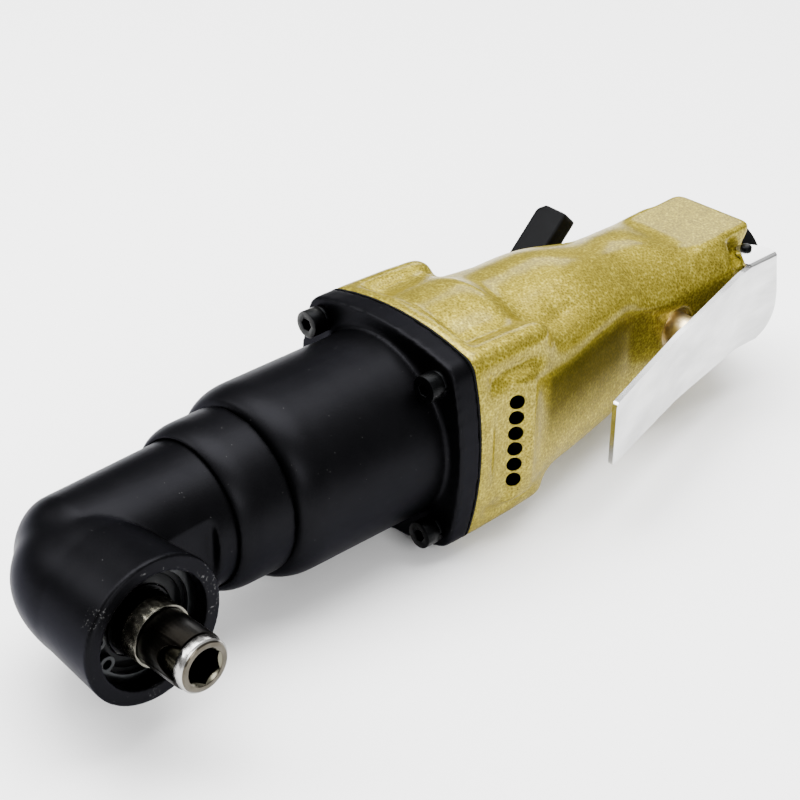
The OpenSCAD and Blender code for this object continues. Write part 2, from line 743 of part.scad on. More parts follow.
module neck_collar() color("#202124") {
    lip_r = neck_r + collar_lip_gap;
    round_r = collar_r - lip_r;
    seat_x = stub_end_x + head_flange_t;
    turned_x(concat(
        [[stub_r + fit, case_front_x], [collar_r, case_front_x],
         [collar_r, collar_front_x - collar_nose_len]],
        [for (a = [0:90 / steps:90]) [lip_r + round_r * cos(a),
            collar_front_x - collar_nose_len + collar_nose_len * sin(a)]],
        [[lip_r, seat_x], [stub_r + fit, seat_x]]));
}

module angle_head() color("#202124") difference() {
    union() {
        difference() {
            neck_body();
            translate([collar_front_x + elbow_flat_start, elbow_flat_y, -neck_r])
                cube([head_x - collar_front_x - elbow_flat_start, neck_r, 2 * neck_r]);
        }
        head_body();
    }
    head_cuts();
}

// Tapered neck with a domed end, its clamping flange and the spigot in the case's stub
module neck_body() turned_x(concat(
    [[0, stub_end_x - head_spigot_len], [head_spigot_r, stub_end_x - head_spigot_len],
     [head_spigot_r, stub_end_x], [stub_r, stub_end_x], [stub_r, stub_end_x + head_flange_t],
     [neck_r, stub_end_x + head_flange_t], [neck_r, collar_front_x]],
    [for (a = [0:90 / steps:90]) [neck_tip_r * cos(a), neck_dome_x + neck_dome_len * sin(a)]]));

module head_body() along_y(head_x, 0) rotate_extrude($fn = arc_fn) polygon(concat(
    [[0, mouth_y], [mouth_r - mouth_chamfer, mouth_y], [mouth_r, mouth_y - mouth_chamfer]],
    [for (a = [0:90 / steps / 2:90]) [dome_r * pow(cos(a), 2 / dome_power),
        dome_y - dome_len * pow(sin(a), 2 / dome_power)]]));

module head_cuts() {
    along_y(head_x, bearing_top_y) cylinder(r = mouth_bore_r, h = mouth_y - bearing_top_y + over);
    along_y(head_x, bearing_top_y) cylinder(r = mouth_bore_r + circlip_groove, h = circlip_t + fit);
    along_y(head_x, spindle_bearing_y) cylinder(r = spindle_bearing[0], h = spindle_bearing[2] + over);
    along_y(head_x, cavity_floor_y)
        cylinder(r = gear_cavity_r, h = spindle_bearing_y - cavity_floor_y + over);
    along_y(head_x, tail_pocket_y) cylinder(r = tail_bush_r, h = cavity_floor_y - tail_pocket_y + over);
    along_x(stub_end_x - head_spigot_len - over)
        cylinder(r = neck_bore_r, h = pinion_shoulder_x - stub_end_x + head_spigot_len + over);
    along_x(stub_end_x) cylinder(r = pinion_cavity_r, h = pinion_cavity_x - stub_end_x);
}

module head_circlip() color("#2b2c2f") along_y(head_x, bearing_top_y) {
    outer = mouth_bore_r + circlip_groove - fit;
    difference() {
        union() {
            ring(outer, mouth_bore_r - circlip_width, circlip_t);
            for (a = circlip_angles) rotate(-a) translate([circlip_lug_at, 0, 0])
                cylinder(r = circlip_lug_r, h = circlip_t);
        }
        for (a = circlip_angles) rotate(-a) translate([circlip_lug_at, 0, -over])
            cylinder(r = circlip_hole_r, h = circlip_t + 2 * over);
        inner_angle = asin(circlip_lug_r / circlip_lug_at);
        translate([0, 0, -over]) linear_extrude(circlip_t + 2 * over) polygon([[0, 0],
            2 * outer * [cos(-circlip_angles[0] - inner_angle), sin(-circlip_angles[0] - inner_angle)],
            2 * outer * [cos(-circlip_angles[1] + inner_angle), sin(-circlip_angles[1] + inner_angle)]]);
    }
}

module air_inlet_bushing() color("#1c1d1f") difference() {
    turned_x([[0, 0], [inlet_collar_r - inlet_chamfer, 0], [inlet_collar_r, inlet_chamfer],
        [inlet_collar_r, tongue_x - inlet_chamfer], [inlet_collar_r - inlet_chamfer, tongue_x],
        [inlet_shank_r, tongue_x], [inlet_shank_r, screen_x], [0, screen_x]]);
    along_x(-over) cylinder(r = inlet_r, h = inlet_len + over);
    along_x(0) cylinder(r = inlet_throat_r, h = screen_x + over);
    for (s = [-1, 1]) translate([-over, s * inlet_flat_half - (s < 0 ? inlet_collar_r : 0), -inlet_collar_r])
        cube([inlet_flat_len + over, inlet_collar_r, 2 * inlet_collar_r]);
}

module inlet_screen() color("#b7b9bb") along_x(screen_x) difference() {
    cylinder(r = inlet_shank_r, h = screen_t);
    translate([0, 0, -over]) {
        cylinder(r = screen_hole_r, h = screen_t + 2 * over);
        for (i = [0:screen_holes - 1]) rotate(360 * i / screen_holes)
            translate([screen_ring_r, 0, 0]) cylinder(r = screen_hole_r, h = screen_t + 2 * over);
    }
}

module throttle_bush() color("#b08d45") difference() {
    along_y(valve_x, seat_y) cylinder(r = bush_r, h = bush_top_y - seat_y);
    along_y(valve_x, seat_y + seat_t) cylinder(r = button_r + fit, h = bush_top_y - seat_y);
    along_y(valve_x, seat_y - over) cylinder(r = seat_hole_r, h = seat_t + 2 * over);
    translate([0, port_y, 0]) along_x(valve_x) cylinder(r = port_r, h = bush_r + over);
}

// Brass button with its stem down to the valve disc
module throttle_button() color("#c79a4b") along_y(valve_x, 0) difference() {
    rotate_extrude() polygon([[0, seat_y], [stem_r, seat_y], [stem_r, button_low_y], [button_r, button_low_y],
        [button_r, button_top_y - button_chamfer], [button_r - button_chamfer, button_top_y],
        [0, button_top_y]]);
    translate([0, 0, button_oring_y - oring_r - fit])
        ring(button_r + over, button_r - 2 * oring_r - fit, 2 * (oring_r + fit));
}

module button_oring() color("#111111") along_y(valve_x, button_oring_y)
    rotate_extrude() translate([button_r - oring_r, 0]) circle(r = oring_r);

module throttle_valve() color("#3a3a3c") along_y(valve_x, seat_y - valve_disc_t)
    cylinder(r = valve_disc_r, h = valve_disc_t);

echo(throttle_spring_gap = least_gap(helix_points(spring_r, spring_wire_r, throttle_pitch, spring_curls)));
echo(chuck_spring_gap = least_gap(helix_points(chuck_mean_r, chuck_wire_r, chuck_pitch, chuck_curls)));

module throttle_spring() color("#8d9094") along_y(valve_x, chamber_y + spring_wire_r)
    helix(spring_r, spring_wire_r, throttle_pitch, spring_curls);

// Spool with its air way: fed through the groove, let out at one port
module reverse_spool() color("#9a9c9f") difference() {
    union() {
        along_y(reverse_x, -knob_boss_y) cylinder(r = spool_r, h = knob_boss_y + spool_inner_y - gap);
        along_y(reverse_x, -knob_boss_y - knob_drive_len)
            cylinder(r = hex_r(knob_drive_af), h = knob_drive_len + over, $fn = 6);
    }
    along_y(reverse_x, motor_port_y - port_r)
        cylinder(r = spool_hole_r, h = spool_inner_y - motor_port_y + port_r);
    for (y = spool_oring_y) along_y(reverse_x, y - oring_r - fit)
        ring(spool_r + over, spool_r - 2 * oring_r - fit, 2 * (oring_r + fit));
    along_y(reverse_x, port_y - port_r) ring(spool_r + over, spool_r - oring_r, 2 * port_r);
    translate([0, port_y, 0]) along_x(reverse_x - spool_r - over)
        cylinder(r = port_r, h = 2 * (spool_r + over));
    translate([reverse_x, motor_port_y, 0]) rotate([0, 180 - knob_angle, 0])
        cylinder(r = motor_port_r, h = spool_r + over);
    along_y(reverse_x, -knob_boss_y - knob_drive_len - over)
        cylinder(r = knob_screw_r, h = knob_screw_bite + knob_drive_len + over);
}

module reverse_orings() color("#111111") for (y = spool_oring_y) along_y(reverse_x, y)
    rotate_extrude() translate([spool_r - oring_r, 0]) circle(r = oring_r);

// Disc with a bar that points rearwards and up, half a right angle from the tool's axis
module reverse_knob() color("#17181a") difference() {
    union() {
        along_y(reverse_x, knob_in_y) cylinder(r = knob_disc_r, h = knob_disc_t);
        translate([reverse_x, 0, 0]) rotate([0, knob_angle, 0]) {
            translate([-knob_reach, knob_out_y, -knob_w / 2])
                knob_bar(knob_reach, knob_h + knob_disc_t / 2, knob_w);
            translate([0, knob_out_y, 0]) rotate([-90, 0, 0])
                cylinder(r = knob_w / 2, h = knob_h + knob_disc_t / 2);
        }
    }
    along_y(reverse_x, knob_out_y - over)
        cylinder(r = knob_screw_r + fit, h = knob_in_y - knob_out_y + knob_disc_t + 2 * over);
    along_y(reverse_x, knob_out_y - over) cylinder(r = knob_screw_head_r + fit, h = knob_screw_head_h + over);
    along_y(reverse_x, -knob_boss_y - knob_drive_len)
        cylinder(r = hex_r(knob_drive_af) + fit, h = knob_drive_len + over, $fn = 6);
}
module knob_bar(l, h, w) linear_extrude(w)
    polygon([[0, h], [0, knob_chamfer], [knob_chamfer, 0], [l, 0], [l, h]]);

module knob_screw() color("#2b2c2f") difference() {
    union() {
        along_y(reverse_x, knob_out_y) cylinder(r = knob_screw_head_r, h = knob_screw_head_h);
        along_y(reverse_x, knob_out_y)
            cylinder(r = knob_screw_r, h = -knob_boss_y + knob_screw_bite - knob_out_y);
    }
    along_y(reverse_x, knob_out_y - over)
        cylinder(r = knob_screw_head_r / 2, h = knob_screw_head_h / 2 + over, $fn = 6);
}

// Bent sheet with two ears folded round the pin's lug
lever_inner_y = pivot_y + lever_pivot_gap / cos(rear_slope);
function lever_y(x) = lever_inner_y + (min(x, lever_bend_x) - pivot_x) * tan(rear_slope)
    + max(0, x - lever_bend_x) * tan(front_slope);
sheet_rise = sheet_t / cos(rear_slope);

module lever() color("#c9cbce") difference() {
    union() {
        intersection() {
            translate([0, 0, -lever_half]) linear_extrude(2 * lever_half) polygon([
                [lever_rear_x, lever_y(lever_rear_x)], [lever_bend_x, lever_y(lever_bend_x)],
                [lever_tip_x, lever_y(lever_tip_x)], [lever_tip_x, lever_y(lever_tip_x) + sheet_rise],
                [lever_bend_x, lever_y(lever_bend_x) + sheet_rise],
                [lever_rear_x, lever_y(lever_rear_x) + sheet_rise]]);
            translate([0, 2 * handle_r, 0]) rotate([90, 0, 0]) linear_extrude(2 * handle_r) lever_plan();
        }
        for (s = [-1, 1]) translate([0, 0, s * (lever_half - sheet_t / 2) - sheet_t / 2])
            linear_extrude(sheet_t) lever_ear();
    }
    translate([pivot_x, pivot_y, -lever_half - over]) cylinder(r = pin_r + fit, h = 2 * (lever_half + over));
}

// Outline of the sheet seen from the front, in X and Z
module lever_plan() {
    c = lever_rear_corner;
    t = lever_tip_corner;
    difference() {
        polygon([[lever_rear_x, -lever_half], [lever_wide_x, -lever_half], [lever_narrow_x, -lever_mid_half],
            [lever_tip_x, -lever_tip_half], [lever_tip_x, lever_tip_half],
            [lever_narrow_x, lever_mid_half], [lever_wide_x, lever_half], [lever_rear_x, lever_half]]);
        translate([lever_rear_x, -lever_half]) difference() {
            translate([-over, -over]) square(c + over);
            translate([c, c]) circle(r = c);
        }
        translate([lever_tip_x, lever_tip_half]) difference() {
            translate([-t, -t]) square(t + over);
            translate([-t, -t]) circle(r = t);
        }
    }
}

// Ear round the pin, in X and Y
module lever_ear() {
    r = ear_corner;
    polygon([[lever_rear_x + lever_rear_corner, lever_y(lever_rear_x + lever_rear_corner) + sheet_rise / 2],
        [ear_front_x, lever_y(ear_front_x) + sheet_rise / 2], [ear_front_x - r, pivot_y],
        [ear_front_x - r, ear_low_y + r], [ear_front_x - 2 * r, ear_low_y],
        [pivot_x - r, ear_low_y], [pivot_x - 2 * r, ear_low_y + r]]);
}

module lever_pin() color("#202124") translate([pivot_x, pivot_y, -lever_half])
    cylinder(r = pin_r, h = 2 * lever_half);

module end_plate_ports() for (s = [-1, 1]) translate([motor_port_y, s * motor_port_z, -over])
    cylinder(r = motor_port_r, h = plate_t + 2 * over);

// End plates hold the rotor's bearings on their outer sides
module end_plate() difference() {
    cylinder(r = motor_bore_r - fit, h = plate_t);
    translate([0, 0, -over]) cylinder(r = rotor_bearing[0], h = rotor_bearing[2] + over);
    translate([0, 0, -over]) cylinder(r = shaft_r + gap, h = plate_t + 2 * over);
}
module rear_end_plate() color("#8f9296") along_x(motor_rear_x) difference() {
    end_plate();
    end_plate_ports();
}
module front_end_plate() color("#8f9296") along_x(motor_front_x) mirror([0, 0, 1]) end_plate();

module motor_cylinder() color("#a5a7aa") along_x(cylinder_rear_x) difference() {
    cylinder(r = motor_bore_r - fit, h = motor_len);
    translate([eccentricity, 0, -over]) cylinder(r = liner_bore_r, h = motor_len + 2 * over);
    for (s = [-1, 1]) translate([motor_port_y, s * motor_port_z, -over])
        cylinder(r = motor_port_r, h = motor_len / 2);
    for (i = [-1:1], k = [1:2]) translate([0, 2 * i * exhaust_pitch, motor_len - k * exhaust_pitch])
        rotate([0, 90, 0]) cylinder(r = exhaust_r, h = motor_bore_r);
}

// Slotted rotor, its two shaft ends and the hexagon that drives the hammer cage
module rotor() color("#8b8e93") along_x(0) difference() {
    union() {
        translate([0, 0, cylinder_rear_x + gap]) cylinder(r = rotor_r, h = motor_len - 2 * gap);
        translate([0, 0, motor_rear_x + gap]) cylinder(r = shaft_r, h = motor_front_x - motor_rear_x);
        translate([0, 0, motor_front_x])
            cylinder(r = cage_drive_r, h = cage_rear_x + cage_drive_len - motor_front_x, $fn = 6);
    }
    for (i = [0:vane_count - 1]) rotate(360 * (i + 0.5) / vane_count)
        translate([rotor_r - vane_depth - fit, -vane_t / 2 - fit, cylinder_rear_x])
            cube([vane_depth + over, vane_t + 2 * fit, motor_len]);
}

module vanes() color("#6b4f2a") along_x(0) for (i = [0:vane_count - 1]) rotate(360 * (i + 0.5) / vane_count)
    translate([rotor_r - vane_depth, -vane_t / 2, cylinder_rear_x + gap])
        cube([vane_depth - fit, vane_t, motor_len - 2 * gap]);

// Both rotor bearings, mirror images of each other
module at_rotor_bearings() {
    along_x(motor_rear_x) children();
    along_x(motor_front_x) mirror([0, 0, 1]) children();
}
module rotor_bearing_outers() color("#b5b7ba") at_rotor_bearings() bearing_outer(rotor_bearing);
module rotor_bearing_balls() color("#d0d2d4") at_rotor_bearings() bearing_balls(rotor_bearing);
module rotor_bearing_inners() color("#b5b7ba") at_rotor_bearings() bearing_inner(rotor_bearing);

// Cage: two plates joined by two struts, with the pins of the hammers between them
module hammer_cage() color("#6f7276") along_x(0) {
    difference() {
        union() {
            translate([0, 0, cage_rear_x]) cylinder(r = cage_r, h = cage_plate_t);
            translate([0, 0, cage_front_x]) cylinder(r = cage_r, h = cage_plate_t);
            for (s = [-1, 1]) intersection() {
                translate([0, 0, cage_rear_x]) cylinder(r = cage_r, h = cage_end_x - cage_rear_x);
                translate([-strut_half, s > 0 ? strut_in_r : -cage_r, cage_rear_x])
                    cube([2 * strut_half, cage_r - strut_in_r, cage_end_x - cage_rear_x]);
            }
        }
        translate([0, 0, cage_rear_x - over])
            cylinder(r = cage_drive_r + fit, h = cage_plate_t + 2 * over, $fn = 6);
        translate([0, 0, cage_front_x - over]) cylinder(r = anvil_shaft_r + gap, h = cage_plate_t + 2 * over);
        for (s = [-1, 1]) translate([s * hammer_pin_y, 0, cage_rear_x - over])
            cylinder(r = hammer_pin_r, h = cage_end_x - cage_rear_x + 2 * over);
    }
}

// Two swinging hammers, each a ring with one jaw, opposite ways round
module hammer() linear_extrude(hammer_len) difference() {
    union() {
        difference() {
            intersection() {
                circle(r = cage_r);
                square([2 * cage_r, 2 * (strut_in_r - gap)], center = true);
            }
            circle(r = hammer_bore_r);
        }
        intersection() {
            circle(r = hammer_bore_r + over);
            polygon([[0, 0], 2 * cage_r * [sin(-lobe_angle), cos(lobe_angle)],
                2 * cage_r * [sin(lobe_angle), cos(lobe_angle)]]);
        }
    }
    circle(r = hammer_bore_r - jaw_reach);
    for (s = [-1, 1]) translate([s * hammer_pin_y, 0]) circle(r = hammer_pin_r + fit);
}
module hammers() color("#7c7f83") along_x(0) for (k = [0:1])
    translate([0, 0, hammer_x + k * (hammer_len + gap)]) rotate(180 * k) hammer();

module hammer_pins() color("#c2c4c6") along_x(cage_rear_x) for (s = [-1, 1])
    translate([s * hammer_pin_y, 0, 0]) cylinder(r = hammer_pin_r, h = cage_end_x - cage_rear_x);

// Anvil with a lobe for each hammer, and the hexagon that drives the bevel pinion
module anvil() color("#94979b") along_x(0) {
    translate([0, 0, hammer_x]) cylinder(r = anvil_core_r, h = cage_front_x - hammer_x - gap);
    translate([0, 0, hammer_x]) cylinder(r = anvil_shaft_r, h = stub_end_x - hammer_x);
    translate([0, 0, stub_end_x - fit]) cylinder(r = hex_r(coupling_af), h = coupling_len, $fn = 6);
    for (k = [0:1]) translate([0, 0, hammer_x + k * (hammer_len + gap)])
        rotate(180 * k) linear_extrude(hammer_len) intersection() {
            circle(r = anvil_lobe_r);
            rotate(90 - lobe_angle - lobe_play) polygon([[0, 0],
                2 * cage_r * [cos(lobe_angle), -sin(lobe_angle)], [2 * cage_r, 0]]);
        }
}

module anvil_bush() color("#a87c3c") along_x(case_inner_x)
    ring(anvil_shaft_r + bush_wall, anvil_shaft_r + fit, stub_end_x - head_spigot_len - case_inner_x);

module bevel_pinion() color("#7f8286") difference() {
    union() {
        translate([head_x, 0, 0]) rotate([90, 0, -90]) bevel_teeth(pinion_teeth, pinion_cone);
        turned_x([[0, stub_end_x + gap], [pinion_shaft_r, stub_end_x + gap],
            [pinion_shaft_r, pinion_shoulder_x],
            [pinion_shaft_r + over, pinion_shoulder_x], [pinion_shaft_r + over, pinion_heel_x - gap],
            [pinion_shaft_r - over, pinion_heel_x - gap], [pinion_shaft_r - over, pinion_heel_x + gap],
            [0, pinion_heel_x + gap]]);
    }
    along_x(stub_end_x) cylinder(r = hex_r(coupling_af) + fit, h = coupling_len + gap, $fn = 6);
}

module at_pinion_bearings() for (x = pinion_bearing_x) along_x(x) children();
module pinion_bearing_outers() color("#b5b7ba") at_pinion_bearings() bearing_outer(pinion_bearing);
module pinion_bearing_balls() color("#d0d2d4") at_pinion_bearings() bearing_balls(pinion_bearing);
module pinion_bearing_inners() color("#b5b7ba") at_pinion_bearings() bearing_inner(pinion_bearing);

module bevel_gear() color("#7f8286") difference() {
    union() {
        along_y(head_x, 0) rotate(180 / gear_teeth) bevel_teeth(gear_teeth, gear_cone);
        along_y(head_x, gear_heel_y - gap)
            cylinder(r = spindle_r + bush_wall, h = spindle_bearing_y - gear_heel_y + gap);
    }
    along_y(head_x, 0) cylinder(r = spindle_r, h = spindle_bearing_y + over);
    translate([head_x + spindle_r - over, key_y - over, -key_w / 2])
        cube([key_rise + over, spindle_bearing_y, key_w]);
}

module gear_key() color("#b5b7ba") translate([head_x + spindle_r - key_rise, key_y, -key_w / 2])
    cube([2 * key_rise, key_len, key_w]);

// Spindle: tail, bearing seat, collar, spring cup, neck and front ring with the bit socket
module spindle() color("#a7a6a0") difference() {
    along_y(head_x, 0) rotate_extrude() polygon([
        [0, tail_end_y], [tail_r, tail_end_y], [tail_r, cavity_floor_y + gap],
        [spindle_r, cavity_floor_y + gap], [spindle_r, bearing_top_y], [seat_r, bearing_top_y],
        [seat_r, bearing_top_y + seat_len - nose_chamfer],
        [cup_r, bearing_top_y + seat_len], [cup_r, bearing_top_y + seat_len + cup_len],
        [cup_r - cup_wall, bearing_top_y + seat_len + cup_len], [cup_r - cup_wall, cup_bottom_y],
        [neck_in_r, cup_bottom_y], [neck_in_r, nose_y], [nose_r, nose_y],
        [nose_r, chuck_y - nose_chamfer], [nose_r - nose_chamfer, chuck_y], [0, chuck_y]]);
    along_y(head_x, chuck_y - hex_depth) rotate(hex_turn)
        cylinder(r = hex_r(hex_af), h = hex_depth + over, $fn = 6);
    along_y(head_x, chuck_y - countersink)
        cylinder(r1 = hex_af / 2, r2 = hex_af / 2 + 2 * countersink, h = 2 * countersink);
    along_y(head_x, lock_ball_y) rotate(lock_ball_angle) rotate([0, 90, 0])
        cylinder(r = lock_ball_r + fit, h = nose_r);
    translate([head_x + spindle_r - key_rise, key_y, -key_w / 2]) cube([key_rise + over, key_len, key_w]);
}

module chuck_sleeve() color("#1f1e1d") difference() {
    along_y(head_x, nose_y - gap - sleeve_len) ring(sleeve_r, neck_in_r + fit, sleeve_len);
    along_y(head_x, nose_y - gap + window_rise) rotate(-window_angle) rotate([0, 90, 0])
        cylinder(r = window_r, h = sleeve_r + over);
    along_y(head_x, lock_ball_y + sleeve_travel - lock_ball_r)
        cylinder(r = neck_in_r + sleeve_relief, h = 2 * lock_ball_r);
}

module chuck_spring() color("#8d9094") along_y(head_x, cup_bottom_y + chuck_wire_r)
    helix(chuck_mean_r, chuck_wire_r, chuck_pitch, chuck_curls);

module lock_ball() color("#d0d2d4") along_y(head_x, lock_ball_y) rotate(lock_ball_angle)
    translate([neck_in_r + fit - lock_ball_r - fit / 2, 0, 0]) sphere(r = lock_ball_r);

module at_spindle_bearing() along_y(head_x, spindle_bearing_y) children();
module spindle_bearing_outer() color("#b5b7ba") at_spindle_bearing() bearing_outer(spindle_bearing);
module spindle_bearing_balls() color("#d0d2d4") at_spindle_bearing() bearing_balls(spindle_bearing);
module spindle_bearing_inner() color("#b5b7ba") at_spindle_bearing() bearing_inner(spindle_bearing);

module bearing_shield() color("#1b1c1e") along_y(head_x, bearing_top_y - shield_t)
    ring(spindle_bearing[0] - race_share * (spindle_bearing[0] - spindle_bearing[1]),
        spindle_bearing[1] + race_share * (spindle_bearing[0] - spindle_bearing[1]) + gap, shield_t);

module tail_bush() color("#a87c3c") along_y(head_x, tail_end_y)
    ring(tail_bush_r, tail_r + fit, cavity_floor_y - tail_end_y);

motor_housing();
case_gasket();
hammer_case();
case_screws();
screw_washers();
neck_collar();
angle_head();
head_circlip();
air_inlet_bushing();
inlet_screen();
throttle_bush();
throttle_button();
button_oring();
throttle_valve();
throttle_spring();
reverse_spool();
reverse_orings();
reverse_knob();
knob_screw();
lever();
lever_pin();
rear_end_plate();
front_end_plate();
motor_cylinder();
rotor();
vanes();
rotor_bearing_outers();
rotor_bearing_balls();
rotor_bearing_inners();
hammer_cage();
hammers();
hammer_pins();
anvil();
anvil_bush();
bevel_pinion();
pinion_bearing_outers();
pinion_bearing_balls();
pinion_bearing_inners();
bevel_gear();
gear_key();
spindle();
spindle_bearing_outer();
spindle_bearing_balls();
spindle_bearing_inner();
bearing_shield();
tail_bush();
chuck_sleeve();
chuck_spring();
lock_ball();
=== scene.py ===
"""Looks of the right-angle pneumatic screwdriver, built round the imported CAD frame."""
import math
from typing import NamedTuple

import bmesh
import bpy
import numpy as np
from mathutils import Matrix, Vector


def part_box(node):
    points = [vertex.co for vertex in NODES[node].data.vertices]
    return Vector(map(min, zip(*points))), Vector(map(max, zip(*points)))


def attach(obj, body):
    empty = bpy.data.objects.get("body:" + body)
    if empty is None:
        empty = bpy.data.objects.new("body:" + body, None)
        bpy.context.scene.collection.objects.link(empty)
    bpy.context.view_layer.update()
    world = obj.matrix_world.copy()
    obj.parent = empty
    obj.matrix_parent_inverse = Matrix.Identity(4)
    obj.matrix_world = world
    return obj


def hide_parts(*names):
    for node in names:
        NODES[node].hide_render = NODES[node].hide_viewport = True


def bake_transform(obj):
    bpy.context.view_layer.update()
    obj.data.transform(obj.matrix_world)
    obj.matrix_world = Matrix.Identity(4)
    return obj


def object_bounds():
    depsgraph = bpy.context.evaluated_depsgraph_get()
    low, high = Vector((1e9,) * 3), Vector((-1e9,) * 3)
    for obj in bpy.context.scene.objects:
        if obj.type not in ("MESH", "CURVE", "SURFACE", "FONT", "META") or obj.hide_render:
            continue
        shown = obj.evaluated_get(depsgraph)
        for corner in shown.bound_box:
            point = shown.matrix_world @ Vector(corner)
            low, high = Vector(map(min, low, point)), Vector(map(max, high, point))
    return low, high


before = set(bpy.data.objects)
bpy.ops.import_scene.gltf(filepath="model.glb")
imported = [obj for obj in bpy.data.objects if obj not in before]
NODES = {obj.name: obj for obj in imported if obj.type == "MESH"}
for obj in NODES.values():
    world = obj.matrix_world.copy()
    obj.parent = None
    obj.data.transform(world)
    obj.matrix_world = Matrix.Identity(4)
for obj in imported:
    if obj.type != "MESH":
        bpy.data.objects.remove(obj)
CAD_BOX = [list(c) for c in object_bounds()]


def cad_reach(node):
    """How far a CAD node reaches along Y, to the micrometre."""
    return round(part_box(node)[1][1], 6)


# All sizes and places are in metres, first those that the CAD nodes' boxes give
FLANGE_HALF = cad_reach("case_gasket")
SCREW_HEAD_R = 0.0035
SCREW_C = cad_reach("case_screws") - SCREW_HEAD_R
PIN_X, PIN_Y, _ = (round((a + b) / 2, 6) for a, b in zip(*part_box("lever_pin")))
MOUTH_Y = cad_reach("angle_head")
NOSE_Y = cad_reach("spindle")

# Flange: its stretch along the tool, and its corner radius in the CAD and as cast
FLANGE_REAR, FLANGE_FRONT = 0.1235, 0.1352
CAD_CORNER_R, CAST_CORNER_R = 0.0063, 0.0054
CAD_BOSS_R = 0.00625

# Slope under the lever: the height that it has at one place, and its rise
SLOPE_X, SLOPE_Y, SLOPE_RISE = 0.108, 0.029, 0.2263

# Exhaust ridge: front edge and fall of its facet, and the row of holes that are square to it
FACET_X, FACET_Y, FACET_FALL, FACET_TILT = 0.1181, 0.0283, 0.577, math.radians(30)
HOLE_X, HOLE_Y, HOLE_Z = 0.1164, 0.0291, 0.00045
HOLE_COUNT, HOLE_PITCH, HOLE_R = 6, 0.00446, 0.002

# Spindle: its axis, and the rear end of its front band, in the CAD and as shown
HEAD_X = 0.2295
CAD_BAND_Y, BAND_Y = 0.043, 0.0449

# Lever: its sheet measured along Y, rear height, two bends, the slopes after them, and its ears
SHEET_T = 0.00153
LEVER_Y, FIRST_BEND, SECOND_BEND, BEND_SOFT = 0.02104, 0.023, 0.056, 0.0012
FIRST_SLOPE, SECOND_SLOPE = 0.2217, 0.2943
EAR_IN, EAR_OUT, FOLD_R = 0.0107, 0.0122, 0.0011

# Scales of noise that is drawn out into lines round Y, round X or along X, or isn't drawn out
RINGS_Y = (20.0, 5200.0, 20.0)
RINGS_X = (5200.0, 20.0, 20.0)
ALONG_X = (30.0, 900.0, 2600.0)
EVEN = (900.0, 900.0, 900.0)

# Depths of bumps, the worn stretch at the head's mouth, and the edges that catch the light
LINE_DEPTH, GRAIN_DEPTH, FLAKE_DEPTH = 0.00003, 0.00005, 0.0001
WORN_LEN = 0.0038
EDGE, SHEET_EDGE = 0.00018, 0.00022

# Distance within which points are one, and the floor's distance below the tool
MERGE = 0.000002
FLOOR_GAP = 0.00045


def linked(name, data):
    """A new object in the scene."""
    obj = bpy.data.objects.new(name, data)
    bpy.context.scene.collection.objects.link(obj)
    return obj


def build_camera():
    """The photograph's camera, solved from the picture."""
    right = Vector((-0.72536474, 0.68805105, 0.02077821))
    down = Vector((0.34509358, 0.38959464, -0.85388901))
    ahead = Vector((-0.59561431, -0.61221055, -0.52004022))
    place = Vector((0.4848, 0.3671, 0.3153))
    data = bpy.data.cameras.new("camera")
    data.lens = 108.68
    data.sensor_width = 36.0
    data.clip_start = 0.01
    data.clip_end = 20.0
    cam = linked("camera", data)
    turn = Matrix((right, -down, -ahead)).transposed().to_4x4()
    cam.matrix_world = Matrix.Translation(place) @ turn
    bpy.context.scene.camera = cam


